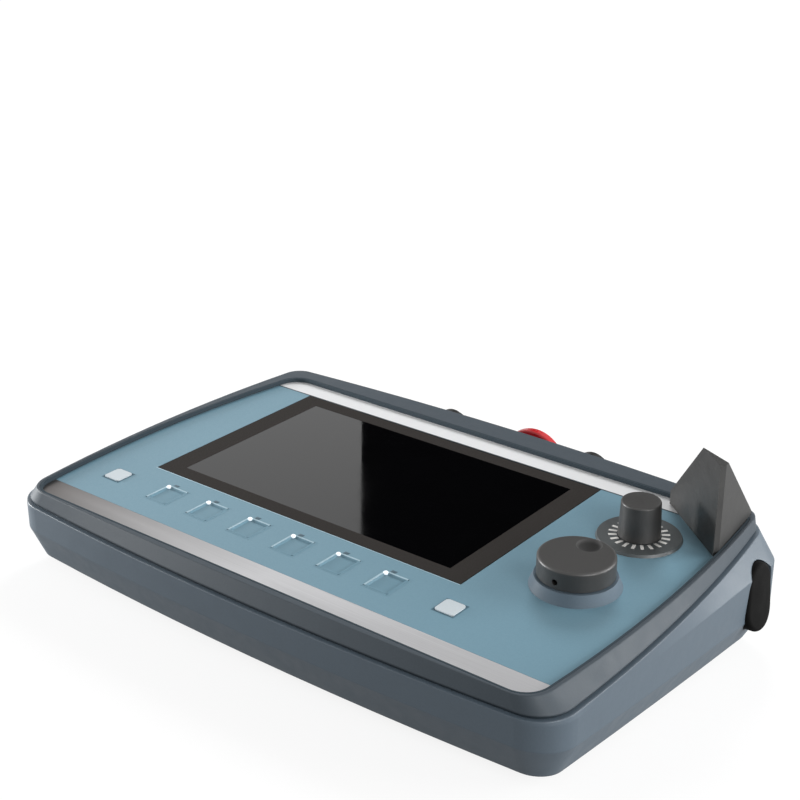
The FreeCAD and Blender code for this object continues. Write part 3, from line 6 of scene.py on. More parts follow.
import bmesh
import bpy
from bpy.props import FloatProperty, FloatVectorProperty, IntProperty, PointerProperty
from mathutils import Matrix, Vector


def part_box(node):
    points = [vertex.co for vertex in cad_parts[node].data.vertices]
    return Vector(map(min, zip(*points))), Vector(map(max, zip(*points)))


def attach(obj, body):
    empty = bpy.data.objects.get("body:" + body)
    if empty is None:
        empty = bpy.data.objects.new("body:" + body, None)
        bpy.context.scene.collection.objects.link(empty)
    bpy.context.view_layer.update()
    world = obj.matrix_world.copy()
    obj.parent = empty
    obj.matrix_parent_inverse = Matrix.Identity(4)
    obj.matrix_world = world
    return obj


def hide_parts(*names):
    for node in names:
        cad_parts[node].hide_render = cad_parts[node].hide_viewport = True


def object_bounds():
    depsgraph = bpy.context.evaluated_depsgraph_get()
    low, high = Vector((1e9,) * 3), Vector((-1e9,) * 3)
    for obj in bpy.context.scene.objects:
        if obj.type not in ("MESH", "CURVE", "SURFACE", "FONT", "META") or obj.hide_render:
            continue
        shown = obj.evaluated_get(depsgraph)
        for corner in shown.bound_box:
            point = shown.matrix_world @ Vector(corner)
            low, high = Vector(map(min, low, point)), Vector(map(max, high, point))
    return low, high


bl_info = {
    "name": "Operator panel",
    "version": (1, 0, 0),
    "blender": (4, 5, 0),
    "location": "View3D > Sidebar > Panel",
    "description": "Finishes and small details of a hand-held operator panel",
    "category": "Object",
}

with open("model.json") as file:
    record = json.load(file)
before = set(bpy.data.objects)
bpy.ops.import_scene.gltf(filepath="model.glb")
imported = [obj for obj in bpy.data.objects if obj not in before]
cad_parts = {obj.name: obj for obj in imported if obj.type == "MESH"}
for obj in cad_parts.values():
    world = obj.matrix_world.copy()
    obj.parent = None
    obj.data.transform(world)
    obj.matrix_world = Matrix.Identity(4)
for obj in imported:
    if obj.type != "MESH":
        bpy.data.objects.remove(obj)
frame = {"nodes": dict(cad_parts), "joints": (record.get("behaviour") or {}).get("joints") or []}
CAD_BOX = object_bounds()
MM = 0.001
WHITE = (1, 1, 1)
SENSOR_WIDTH_MM = 36

# Directions of the sloping control face, taken from the axis that the override knob turns about
OVERRIDE_JOINT = next(joint for joint in frame["joints"] if joint["name"] == "override_turn")
FACE_UP = Vector(OVERRIDE_JOINT["axis"]).normalized()
FACE_RIGHT = Vector((1, 0, 0))
FACE_REAR = FACE_UP.cross(FACE_RIGHT)
FACE_TILT = math.atan2(FACE_REAR.z, FACE_REAR.y)
# Turn that lays a bar, which is modelled from front to rear, from left to right
TO_RIGHT = -math.pi / 2

# Least cosine between a face's normal and a direction for the face to count as facing that way
FACING = 0.9
# How far a face may lie below a crest and still count as part of it
CREST_SLACK = 0.1 * MM
# Corners of loose triangles that are closer than this are one corner
SAME_CORNER = 0.001 * MM

# Middle range of a noise's values
NOISE_LOW, NOISE_HIGH = 0.3, 0.7
# Sockets of a colour mix, by number because their names aren't unique
MIX_FACTOR, MIX_FIRST, MIX_SECOND, MIX_RESULT = 0, 6, 7, 2

# Mouldings: clouds in the colour, blotches in the gloss, and darker specks in the grain
CLOUD_SIZE = 45 * MM
BLOTCH_SIZE = 7 * MM
GLOSS_SPREAD = 0.05
SPECK_LEVEL = 0.6
SPECK_SHARE = 0.12
# Roughness of the knobs' nylon, which use dulls in the finger dimple
KNOB_ROUGHNESS = 0.46

FUNCTION_KEYS = [f"function_key_{number}" for number in range(1, 7)]
WHITE_KEYS = ["white_key_left", "white_key_right"]
STAGE_LAMPS = ["top", "side", "front", "fill"]


def linear(code):
    """Linear colour of an sRGB hex code."""
    shares = [int(code[start:start + 2], 16) / 255 for start in (1, 3, 5)]
    return tuple(s / 12.92 if s <= 0.04045 else ((s + 0.055) / 1.055) ** 2.4 for s in shares)


def colour_property(name, description, code):
    return FloatVectorProperty(
        name=name, description=description, subtype="COLOR", size=3, min=0, max=1, default=linear(code))


def length_property(name, description, size):
    return FloatProperty(name=name, description=description, unit="LENGTH", precision=5, min=0, default=size)


def place_property(name, description, place):
    return FloatVectorProperty(
        name=name, description=description, subtype="TRANSLATION", unit="LENGTH", size=3, precision=5,
        default=place)


def power_property(name, description, power):
    return FloatProperty(name=name, description=description, unit="POWER", min=0, default=power)


def share_property(name, description, share):
    return FloatProperty(name=name, description=description, subtype="FACTOR", min=0, max=1, default=share)


class PanelColours(bpy.types.PropertyGroup):
    """Colours of the panel's finishes."""

    housing: colour_property("Housing", "Blue-grey of the lower shell and its cover", "#54616c")
    rim: colour_property("Rim", "Darker grey of the upper shell", "#474f56")
    overlay: colour_property("Overlay", "Blue of the front film and its keys", "#7093a3")
    silver: colour_property("Silver strip", "Brushed strip along the front edge", "#d4d4d6")
    # Painted reflection: darker, warmer silver at the strip's left end
    silver_dull: colour_property("Dull silver", "Left end of the brushed strip", "#6c6866")
    header: colour_property("Header", "White strip along the rear edge", "#e6e7e8")
    key_white: colour_property("White keys", "Caps of the two square keys", "#ccd5da")
    lens: colour_property("Lenses", "Milky tint of the key lamps", "#e6eff4")
    lens_glow: colour_property("Lens glow", "Light in the key lamps", "#eef6fb")
    screen: colour_property("Screen", "Display that is switched off", "#050506")
    border: colour_property("Border", "Dark print round the display", "#2a2725")
    knob: colour_property("Knobs", "Charcoal of the two knobs", "#282726")
    dial: colour_property("Dial", "Disc below the override knob", "#4b4f50")
    guard: colour_property("Guard", "Charcoal of the corner guard", "#252524")
    collar: colour_property("Collar", "Cone below the handwheel", "#5d6b76")
    stop: colour_property("Stop", "Head of the emergency stop", "#c81d24")
    black: colour_property("Black", "Bezels, switch bodies and inlet", "#1b1b1b")
    rubber: colour_property("Rubber", "Rubber of the buttons and feet", "#070707")
    gasket: colour_property("Gasket", "Seal between the shells, and the line along the header", "#2b343b")
    bead: colour_property("Bead", "Bead round the film", "#39434a")
    # Painted shadow: dark colour of the marks that stand for the shadows of the key lamps
    print_dark: colour_property("Print marks", "Dark marks beside the function keys", "#4f646f")
    # Painted shade: deeper blue of the lines round the white keys
    print_soft: colour_property("Print lines", "Soft lines round the white keys", "#54717f")
    # Painted highlight: pale colour of the lit edges of the function keys and of the glass's front edge
    print_pale: colour_property("Pale edges", "Pale edges of the function keys and the glass", "#a8c2cd")


class PanelSizes(bpy.types.PropertyGroup):
    """Sizes of the details that are added to the frame."""

    screen_length: length_property("Screen length", "Length of the display's active area", 152.4 * MM)
    screen_depth: length_property("Screen depth", "Depth of the display's active area", 91.4 * MM)
    border_inset: length_property("Border inset", "Printed border from the glass's edge", 0.3 * MM)
    lamp_radius: length_property("Lamp radius", "Radius of a key's signal lamp", 1.15 * MM)
    lamp_height: length_property("Lamp height", "Height of a key's signal lamp", 1.1 * MM)
    lamp_sink: length_property("Lamp sink", "Part of a lamp below the key's rim", 0.5 * MM)
    lamp_inset: length_property("Lamp inset", "Middle of a lamp from the key's edges", 1.2 * MM)
    # Width of the painted highlight along a function key's left and rear edges
    edge_width: length_property("Pale edge", "Width of the pale line along a function key's edge", 0.9 * MM)
    film_width: length_property("Key film", "Width of the film round a key", 0.7 * MM)
    key_gap: length_property("Key gap", "Gap that is left round a key", 0.03 * MM)
    # Size and place of each lamp's painted shadow
    mark_length: length_property("Mark length", "Length of the dark mark beside a lamp", 2.6 * MM)
    mark_width: length_property("Mark width", "Width of the dark mark beside a lamp", 2.2 * MM)
    mark_shift: length_property("Mark shift", "Dark mark from the key's left edge", 2.2 * MM)
    # Width of the painted highlight along the film's cut edge in front of the glass
    glass_edge: length_property("Glass edge", "Width of the pale edge in front of the glass", 0.4 * MM)
    header_line: length_property("Header line", "Width of the dark line in front of the header", 0.9 * MM)
    dimple_shift: length_property("Dimple shift", "Finger dimple from the handwheel's middle", 9.2 * MM)
    dimple_radius: length_property("Dimple radius", "Radius of the handwheel's finger dimple", 5.3 * MM)
    print_height: length_property("Print height", "Thickness of a printed line", 0.08 * MM)
    stop_room: length_property("Stop room", "Room for the pressed head over the stop's collar", 0.6 * MM)
    screw_head: length_property("Screw head", "Radius of a cover screw's head", 2.8 * MM)
    socket_radius: length_property("Socket radius", "Radius of the socket in a cover screw", 1.6 * MM)
    tick_count: IntProperty(name="Ticks", description="Marks round the override dial", default=20, min=2)
    tick_start: length_property("Tick start", "Inner end of a mark, from the dial's middle", 9.5 * MM)
    tick_length: length_property("Tick length", "Length of a mark", 3.6 * MM)
    tick_width: length_property("Tick width", "Width of a mark", 1.4 * MM)


class StageSettings(bpy.types.PropertyGroup):
    """Camera, floor and studio light."""

    camera_place: place_property("Camera place", "Where the camera stands", (0.37648, -0.514355, 0.30569))
    camera_turn: FloatVectorProperty(
        name="Camera turn", description="How the camera is turned", subtype="EULER", size=3,
        default=tuple(math.radians(angle) for angle in (71.400, -3.675, 38.0665)))
    camera_lens: FloatProperty(name="Lens", description="Focal length", unit="CAMERA", default=68.76)
    ambient: share_property("Ambient", "Even light from all round", 0.26)
    top_place: place_property("Top lamp", "Soft lamp behind the panel", (-0.6, 1.1, 1.0))
    top_width: length_property("Top lamp's width", "Width of the lamp behind the panel", 0.5)
    top_power: power_property("Top lamp's power", "Power of the lamp behind the panel", 17)
    side_place: place_property("Side lamp", "Lamp on the right", (0.85, 0.55, 0.35))
    side_width: length_property("Side lamp's width", "Width of the lamp on the right", 0.7)
    side_power: power_property("Side lamp's power", "Power of the lamp on the right", 9.5)
    front_place: place_property("Front lamp", "Low lamp in front on the left", (-0.6, -0.25, 0.09))
    front_width: length_property("Front lamp's width", "Width of the lamp in front on the left", 0.16)
    front_power: power_property("Front lamp's power", "Power of the lamp in front on the left", 5)
    fill_place: place_property("Fill lamp", "Lamp in front on the right", (0.95, -0.35, 0.3))
    fill_width: length_property("Fill lamp's width", "Width of the lamp in front on the right", 0.5)
    fill_power: power_property("Fill lamp's power", "Power of the lamp in front on the right", 5.5)
    floor_colour: colour_property("Floor", "Grey of the floor under its glow", "#6e6e6e")
    floor_side: length_property("Floor side", "Side of the square floor", 60)
    floor_glow: share_property("Floor glow", "Glow of the floor beside the panel", 0.86)
    floor_mirrored: share_property("Mirrored floor", "Share of the floor's glow in reflections", 0.45)
    glow_start: length_property("Glow start", "Distance at which the floor's glow starts to rise", 0.3)
    glow_end: length_property("Glow end", "Distance from which the floor is white", 1.5)
    card_colour: colour_property("Card", "Black of the card that the screen mirrors", "#020202")
    card_place: place_property("Card place", "Where the card stands", (-0.931, 1.55, 1.12))
    card_width: length_property("Card width", "Width of the card", 0.742)
    card_height: length_property("Card height", "Height of the card", 1.2)
    card_aim: length_property("Card aim", "Height over the floor that the card faces", 0.05)


def colours():
    return bpy.context.scene.panel_colours


def sizes():
    return bpy.context.scene.panel_sizes


def stage_settings():
    return bpy.context.scene.panel_stage


def span(node, direction):
    """Least and greatest reach of a node along a direction, in metres."""
    reaches = [vertex.co.dot(direction) for vertex in frame["nodes"][node].data.vertices]
    return min(reaches), max(reaches)


def face_box(node):
    """Spans of a node to the right, to the rear and upwards on the control face."""
    return span(node, FACE_RIGHT), span(node, FACE_REAR), span(node, FACE_UP)


def face_matrix(right, rear, up, turn=0.0):
    """Matrix that sets a piece modelled at the origin down on the control face."""
    place = Matrix.Translation(right * FACE_RIGHT + rear * FACE_REAR + up * FACE_UP)
    return place @ Matrix.Rotation(FACE_TILT, 4, "X") @ Matrix.Rotation(turn, 4, "Z")


def add(shader, kind, inputs=None, **settings):
    """Add a node beside a shader; inputs are values, or sockets of other nodes to link."""
    tree = shader.id_data
    node = tree.nodes.new(kind)
    for name, value in settings.items():
        setattr(node, name, value)
    for socket, value in (inputs or {}).items():
        if isinstance(value, bpy.types.NodeSocket):
            tree.links.new(value, node.inputs[socket])
        else:
            node.inputs[socket].default_value = value
    return node


def feed(shader, **sockets):
    """Set or link the shader's own inputs, named with _ for each space."""
    for name, value in sockets.items():
        socket = shader.inputs[name.replace("_", " ")]
        if isinstance(value, bpy.types.NodeSocket):
            shader.id_data.links.new(value, socket)
        else:
            socket.default_value = value


def finish(build):
    """Make a finish once, under its function's own name, and hand out the same one afterwards."""
    def fetch():
        name = build.__name__
        if name not in bpy.data.materials:
            material = bpy.data.materials.new(name)
            material.use_nodes = True
            build(material.node_tree.nodes["Principled BSDF"])
        return bpy.data.materials[name]
    return fetch


def solid(colour, level=1.0):
    """Colour with its alpha, made lighter or darker by a level."""
    return (*(min(1.0, share * level) for share in colour), 1.0)


def face_coordinates(shader):
    """Object coordinates turned level with the control face."""
    place = add(shader, "ShaderNodeTexCoord").outputs["Object"]
    turn = {"Vector": place, "Rotation": (-FACE_TILT, 0, 0)}
    return add(shader, "ShaderNodeMapping", turn).outputs["Vector"]


def grains(place, size, detail=2.0):
    """Inputs of a noise whose grains are about one size across."""
    return {"Vector": place, "Scale": 1 / size, "Detail": detail}


def mottled(shader, place, size, first, second):
    """Colour that drifts between two colours in patches of about one size."""
    patches = add(shader, "ShaderNodeTexNoise", grains(place, size)).outputs["Fac"]
    tones = {MIX_FACTOR: patches, MIX_FIRST: first, MIX_SECOND: second}
    return add(shader, "ShaderNodeMix", tones, data_type="RGBA").outputs[MIX_RESULT]


def uneven(shader, place, size, low, high, detail=2.0):
    """Value that drifts between two limits in patches of about one size."""
    patches = add(shader, "ShaderNodeTexNoise", grains(place, size, detail)).outputs["Fac"]
    limits = {"Value": patches, "From Min": NOISE_LOW, "From Max": NOISE_HIGH, "To Min": low, "To Max": high}
    return add(shader, "ShaderNodeMapRange", limits).outputs["Result"]


def speckled(shader, place, size, ground, speck, share):
    """Colour with faint specks of another colour, of about one size, over a ground."""
    tones = {MIX_FACTOR: uneven(shader, place, size, 0.0, share), MIX_FIRST: ground, MIX_SECOND: speck}
    return add(shader, "ShaderNodeMix", tones, data_type="RGBA").outputs[MIX_RESULT]


def relief(shader, place, size, depth, strength, softness=0.0, detail=2.0):
    """Bump in grains of about one size, and edges that look rounded to a radius of softness."""
    height = add(shader, "ShaderNodeTexNoise", grains(place, size, detail)).outputs["Fac"]
    bump = add(shader, "ShaderNodeBump", {"Height": height, "Distance": depth, "Strength": strength})
    if softness:
        rounded = add(shader, "ShaderNodeBevel", {"Radius": softness}, samples=6)
        shader.id_data.links.new(rounded.outputs["Normal"], bump.inputs["Normal"])
    feed(shader, Normal=bump.outputs["Normal"])


def flecked(shader, place, size, first, second, roughness):
    """Colour and roughness that drift together in patches of about one size."""
    feed(shader, Base_Color=mottled(shader, place, size, first, second))
    feed(shader, Roughness=uneven(shader, place, size, *roughness))


def moulded(shader, colour, grain, depth, roughness, spread=0.05, shine=0.5, softness=0.0):
    """Moulded plastic: tooled grain in relief, a faint cloudiness and an uneven gloss."""
    # Grains are drawn about three times as coarse as a mould's own, so that they show in the render.
    place = add(shader, "ShaderNodeTexCoord").outputs["Object"]
    clouds = mottled(shader, place, CLOUD_SIZE, solid(colour, 1 - spread), solid(colour, 1 + spread))
    specks = solid(colour, SPECK_LEVEL)
    gloss = (roughness - GLOSS_SPREAD, roughness + GLOSS_SPREAD)
    feed(shader, Base_Color=speckled(shader, place, grain, clouds, specks, SPECK_SHARE))
    feed(shader, Roughness=uneven(shader, place, BLOTCH_SIZE, *gloss))
    feed(shader, Specular_IOR_Level=shine, IOR=1.5)
    relief(shader, place, grain, depth, strength=0.5, softness=softness)


@finish
def textured_abs_housing(shader):
    """Blue-grey ABS from a spark-eroded mould: an even fine grain that keeps its highlights soft."""
    moulded(
        shader, colours().housing, grain=0.9 * MM, depth=0.05 * MM, roughness=0.44, shine=0.6,
        softness=0.8 * MM)


@finish
def textured_abs_rim(shader):
    """The housing's ABS in a darker grey, a little duller where hands hold the rim."""
    moulded(
        shader, colours().rim, grain=0.9 * MM, depth=0.05 * MM, roughness=0.5, shine=0.25,
        softness=0.8 * MM)


@finish
def matt_film_overlay(shader):
    """Blue polyester film printed on its back: smooth, with a matt haze and a dark line along the header."""
    # The haze is drawn coarser than the film's own, so that it shows in the render.
    haze = 0.7 * MM
    blue = colours().overlay
    place = face_coordinates(shader)
    tone = mottled(shader, place, 60 * MM, solid(blue, 0.95), solid(blue, 1.05))
    film = speckled(shader, place, haze, tone, solid(blue, 0.7), share=0.1)
    depth = add(shader, "ShaderNodeSeparateXYZ", {"Vector": place}).outputs["Y"]
    edge = span("header_strip", FACE_REAR)[0] - sizes().header_line
    blur = 0.05 * MM
    limits = {"Value": depth, "From Min": edge - blur, "From Max": edge + blur}
    line = add(shader, "ShaderNodeMapRange", limits).outputs["Result"]
    tones = {MIX_FACTOR: line, MIX_FIRST: film, MIX_SECOND: solid(colours().gasket)}
    lined = add(shader, "ShaderNodeMix", tones, data_type="RGBA").outputs[MIX_RESULT]
    feed(shader, Base_Color=lined, Specular_IOR_Level=0.55, IOR=1.5)
    feed(shader, Roughness=uneven(shader, place, haze, low=0.36, high=0.46))
    relief(shader, place, haze, depth=0.02 * MM, strength=0.35)


@finish
def brushed_metal_film(shader):
    """Silver film with a brushed finish: hair lines run along it, and its left end is painted darker and
    warmer, a painted fall-off of its reflection.
    """
    # Hair lines are about 60 mm long and 0.35 mm apart, coarser than real ones so that they show.
    stretch = (1 / 60, 1 / 0.35, 1)
    place = face_coordinates(shader)
    hairs = add(shader, "ShaderNodeMapping", {"Vector": place, "Scale": stretch}).outputs["Vector"]
    brush = uneven(shader, hairs, MM, low=0.0, high=1.0, detail=4.0)
    silver = colours().silver
    tones = {MIX_FACTOR: brush, MIX_FIRST: solid(silver, 0.93), MIX_SECOND: solid(silver, 1.05)}
    brushed = add(shader, "ShaderNodeMix", tones, data_type="RGBA").outputs[MIX_RESULT]
    # Painted reflection: from the middle to the left end the colour fades to a darker, warmer silver.
    along = add(shader, "ShaderNodeSeparateXYZ", {"Vector": place}).outputs["X"]
    left, right = span("silver_strip", FACE_RIGHT)
    limits = {"Value": along, "From Min": left, "From Max": (left + right) / 2, "To Min": 1.0, "To Max": 0.0}
    dull = add(shader, "ShaderNodeMapRange", limits).outputs["Result"]
    tones = {MIX_FACTOR: dull, MIX_FIRST: brushed, MIX_SECOND: solid(colours().silver_dull)}
    painted_falloff = add(shader, "ShaderNodeMix", tones, data_type="RGBA").outputs[MIX_RESULT]
    feed(shader, Base_Color=painted_falloff, Metallic=0.85, Anisotropic=0.5)
    feed(shader, Roughness=uneven(shader, hairs, MM, low=0.36, high=0.46, detail=4.0))
    relief(shader, hairs, MM, depth=0.01 * MM, strength=0.2, detail=4.0)


@finish
def white_film_header(shader):
    """White film, smooth with a slight haze."""
    # The haze is drawn coarser than the film's own, so that it shows in the render.
    haze = 0.6 * MM
    white = colours().header
    place = face_coordinates(shader)
    tone = mottled(shader, place, 50 * MM, solid(white, 0.96), solid(white, 1.03))
    film = speckled(shader, place, haze, tone, solid(white, 0.8), share=0.08)
    feed(shader, Base_Color=film, Specular_IOR_Level=0.3, IOR=1.5)
    feed(shader, Roughness=uneven(shader, place, haze, low=0.38, high=0.48))
    relief(shader, place, haze, depth=0.02 * MM, strength=0.3)


@finish
def coated_glass_screen(shader):
    """Clear glass over a display that is switched off: near black, with a faintly smeared mirror gloss."""
    black = colours().screen
    place = face_coordinates(shader)
    flecked(shader, place, 25 * MM, solid(black), solid(black, 1.4), roughness=(0.02, 0.05))
    feed(shader, IOR=1.5)


@finish
def matt_black_print(shader):
    """Warm black ink printed round the display: matt, so it keeps the reflections out."""
    ink = colours().border
    place = face_coordinates(shader)
    flecked(shader, place, 0.8 * MM, solid(ink, 0.85), solid(ink, 1.15), roughness=(0.55, 0.7))
    feed(shader, Specular_IOR_Level=0.12)


@finish
def white_key_cap(shader):
    """White ABS cap with a slight gloss."""
    moulded(
        shader, colours().key_white, grain=0.7 * MM, depth=0.02 * MM, roughness=0.38, spread=0.02, shine=0.3)


@finish
def blue_key_cap(shader):
    """Key formed in the same blue film as the overlay, a little glossier where it is embossed."""
    moulded(
        shader, colours().overlay, grain=0.7 * MM, depth=0.02 * MM, roughness=0.34, spread=0.04, shine=0.3)


@finish
def clear_lamp_lens(shader):
    """Milky lens of a signal lamp: it glows a little in its own light."""
    place = add(shader, "ShaderNodeTexCoord").outputs["Object"]
    flecked(shader, place, 0.5 * MM, solid(colours().lens), solid(WHITE), roughness=(0.12, 0.22))
    feed(shader, Emission_Color=solid(colours().lens_glow), Emission_Strength=0.4, IOR=1.49)


def charcoal_nylon(shader):
    """Glass-filled nylon of the two knobs."""
    moulded(
        shader, colours().knob, grain=0.6 * MM, depth=0.03 * MM, roughness=KNOB_ROUGHNESS, shine=0.75)


@finish
def satin_black_knob(shader):
    """Charcoal nylon of the override knob: satin, with a fine grain."""
    charcoal_nylon(shader)


@finish
def satin_black_wheel(shader):
    """The same nylon with painted shade darkening the handwheel's finger dimple, which use also dulls."""
    charcoal_nylon(shader)
    (left, right), (front, rear), _ = face_box("handwheel_knob")
    middle = ((left + right) / 2, (front + rear) / 2 + sizes().dimple_shift, 0)
    place = face_coordinates(shader)
    offset = add(shader, "ShaderNodeVectorMath", {0: place, 1: middle}, operation="SUBTRACT").outputs[0]
    flat = add(shader, "ShaderNodeVectorMath", {0: offset, 1: (1, 1, 0)}, operation="MULTIPLY")
    away = add(shader, "ShaderNodeVectorMath", {0: flat.outputs[0]}, operation="LENGTH").outputs["Value"]
    core, edge = 0.75 * sizes().dimple_radius, 1.1 * sizes().dimple_radius
    shade, painted_shade_level, worn_roughness = 0.9, 0.2, 0.9
    # Painted shade: the dimple's colour darkens towards its middle, where the recess lies in shade; the same
    # mask dulls its gloss.
    limits = {"Value": away, "From Min": core, "From Max": edge, "To Min": shade, "To Max": 0.0}
    dimple_shade_and_dulling = add(shader, "ShaderNodeMapRange", limits).outputs["Result"]
    nylon = shader.inputs["Base Color"].links[0].from_socket
    tones = {MIX_FACTOR: dimple_shade_and_dulling, MIX_FIRST: nylon, MIX_SECOND: solid(colours().knob, painted_shade_level)}
    feed(shader, Base_Color=add(shader, "ShaderNodeMix", tones, data_type="RGBA").outputs[MIX_RESULT])
    limits = {"Value": dimple_shade_and_dulling, "From Max": shade, "To Min": KNOB_ROUGHNESS, "To Max": worn_roughness}
    feed(shader, Roughness=add(shader, "ShaderNodeMapRange", limits).outputs["Result"])


@finish
def printed_dial_disc(shader):
    """Dark plastic disc with a satin sheen, under the printed marks."""
    moulded(shader, colours().dial, grain=0.5 * MM, depth=0.015 * MM, roughness=0.4)


@finish
def white_dial_ink(shader):
    """White ink of the marks round the dial, of an uneven cover."""
    thin, full = solid(linear("#c9c7c3")), solid(linear("#f1efeb"))
    place = add(shader, "ShaderNodeTexCoord").outputs["Object"]
    flecked(shader, place, 0.6 * MM, thin, full, roughness=(0.45, 0.6))


@finish
def charcoal_abs_guard(shader):
    """Charcoal ABS guard with a coarse satin grain."""
    moulded(shader, colours().guard, grain=0.8 * MM, depth=0.04 * MM, roughness=0.46, shine=0.65)


@finish
def grey_abs_collar(shader):
    """Blue-grey ABS of the collar below the handwheel: duller than the housing."""
    moulded(shader, colours().collar, grain=0.7 * MM, depth=0.03 * MM, roughness=0.6, shine=0.2)


@finish
def glossy_red_head(shader):
    """Signal-red ABS of the stop's head, polished in the mould to a faint waviness."""
    moulded(shader, colours().stop, grain=1.2 * MM, depth=0.008 * MM, roughness=0.24, spread=0.03)


@finish
def satin_black_bezel(shader):
    """Black nylon of the bezels and the inlet: satin, with a fine grain."""
    moulded(shader, colours().black, grain=0.6 * MM, depth=0.03 * MM, roughness=0.45, shine=0.4)


@finish
def soft_black_rubber(shader):
    """Black silicone rubber: matt, with little sheen."""
    moulded(shader, colours().rubber, grain=0.5 * MM, depth=0.04 * MM, roughness=0.75, shine=0.1)


@finish
def dark_grey_bead(shader):
    """Soft dark grey bead that shows as a line round the film, partly as painted shade where it is raised
    over the rim's inner wall.
    """
    moulded(shader, colours().bead, grain=0.5 * MM, depth=0.03 * MM, roughness=0.7, shine=0.15)


@finish
def dark_grey_gasket(shader):
    """Dark blue-grey rubber of the seal: matt, so that it reads as a line between the shells."""
    moulded(shader, colours().gasket, grain=0.5 * MM, depth=0.03 * MM, roughness=0.7, shine=0.15)


@finish
def zinc_plated_steel(shader):
    """Zinc-plated steel: a dull metal with faint spangle."""
    dull, bright = solid(linear("#9a9c9e")), solid(linear("#c4c6c8"))
    place = add(shader, "ShaderNodeTexCoord").outputs["Object"]
    flecked(shader, place, 1.5 * MM, dull, bright, roughness=(0.28, 0.42))
    feed(shader, Metallic=1.0)


@finish
def green_circuit_board(shader):
    """Glass-epoxy board under green lacquer, with paler tracks."""
    place = face_coordinates(shader)
    tracks = add(shader, "ShaderNodeTexBrick", {
        "Vector": place, "Color1": solid(linear("#1f5a3a")), "Color2": solid(linear("#23633f")),
        "Mortar": solid(linear("#3b8a5a")), "Scale": 1.0, "Mortar Size": 0.3 * MM,
        "Brick Width": 9 * MM, "Row Height": 1.4 * MM})
    feed(shader, Base_Color=tracks.outputs["Color"], Roughness=0.35, IOR=1.5)


@finish
def dark_switch_body(shader):
    """Black thermoset of the switch bodies inside: dull, with a coarser grain."""
    moulded(shader, colours().black, grain=0.8 * MM, depth=0.04 * MM, roughness=0.55)


def printed(shader, colour):
    """Screen-printed ink with a slightly uneven cover."""
    place = add(shader, "ShaderNodeTexCoord").outputs["Object"]
    flecked(shader, place, 0.8 * MM, solid(colour, 0.88), solid(colour, 1.12), roughness=(0.4, 0.5))
    feed(shader, Specular_IOR_Level=0.3)


@finish
def dark_print_ink(shader):
    """Dark blue-grey of the marks beside the lamps: painted shadow that each lamp would cast."""
    printed(shader, colours().print_dark)


@finish
def soft_print_ink(shader):
    """Blue, a shade deeper than the film, of the lines round the white keys: painted shade along the keys'
    edges.
    """
    printed(shader, colours().print_soft)


@finish
def pale_print_ink(shader):
    """Pale blue painted highlight along the left and rear edges of each function key, and along the glass's
    front edge, where light would catch the edges.
    """
    printed(shader, colours().print_pale)


def seen_directly(shader, mirrored=1.0):
    """1 for rays of the picture, a share of it in reflections, and 0 for rays that gather light."""
    path = add(shader, "ShaderNodeLightPath").outputs
    share = {0: path["Is Glossy Ray"], 1: mirrored}
    gloss = add(shader, "ShaderNodeMath", share, operation="MULTIPLY").outputs[0]
    direct = add(shader, "ShaderNodeMath", {0: path["Is Camera Ray"], 1: gloss}).outputs[0]
    direct = add(shader, "ShaderNodeMath", {0: direct, 1: path["Is Transmission Ray"]}, use_clamp=True)
    return direct.outputs[0]


def dress(nodes, material):
    """Give CAD nodes a finish."""
    for name in nodes:
        mesh = frame["nodes"][name].data
        mesh.materials.clear()
        mesh.materials.append(material)


def deselect():
    if bpy.context.mode != "OBJECT":
        bpy.ops.object.mode_set(mode="OBJECT")
    bpy.ops.object.select_all(action="DESELECT")


def select_faces(test):
    """Select the faces of the piece in edit mode that pass a test."""
    bpy.ops.mesh.select_mode(type="FACE")
    bpy.ops.mesh.select_all(action="DESELECT")
    data = bpy.context.object.data
    mesh = bmesh.from_edit_mesh(data)
    for face in mesh.faces:
        face.select_set(bool(test(face)))
    bmesh.update_edit_mesh(data)


def only(piece):
    """Make a piece the one selected object."""
    deselect()
    piece.select_set(True)
    bpy.context.view_layer.objects.active = piece


def copied(piece, name):
    """Copy of a modelled piece with a mesh of its own."""
    twin = piece.copy()
    twin.data = piece.data.copy()
    twin.name = name
    bpy.context.scene.collection.objects.link(twin)
    return twin


def merged_copy(node, name):
    """Copy of a CAD node whose loose triangles are merged, selected on its own."""
    piece = bpy.data.objects.new(name, frame["nodes"][node].data.copy())
    bpy.context.scene.collection.objects.link(piece)
    only(piece)
    # Normals stored for the loose triangles would shade the merged ones wrongly.
    bpy.ops.mesh.customdata_custom_splitnormals_clear()
    bpy.ops.object.mode_set(mode="EDIT")
    bpy.ops.mesh.select_all(action="SELECT")
    bpy.ops.mesh.remove_doubles(threshold=SAME_CORNER)
    bpy.ops.object.mode_set(mode="OBJECT")
    return piece


def joined(pieces, name):
    """Join pieces into one."""
    deselect()
    for piece in pieces:
        piece.select_set(True)
    bpy.context.view_layer.objects.active = pieces[0]
    bpy.ops.object.join()
    pieces[0].name = name
    return pieces[0]


def settle(piece, matrix, material, body, crease=35):
    """Set a modelled piece in place, give it its finish and let it ride on its body.

    Edges that turn by more than the crease, in degrees, stay sharp.
    """
    only(piece)
    piece.matrix_world = matrix @ piece.matrix_world
    bpy.ops.object.transform_apply(location=True, rotation=True, scale=True)
    bpy.ops.object.shade_smooth_by_angle(angle=math.radians(crease))
    piece.data.materials.clear()
    piece.data.materials.append(material)
    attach(piece, body)


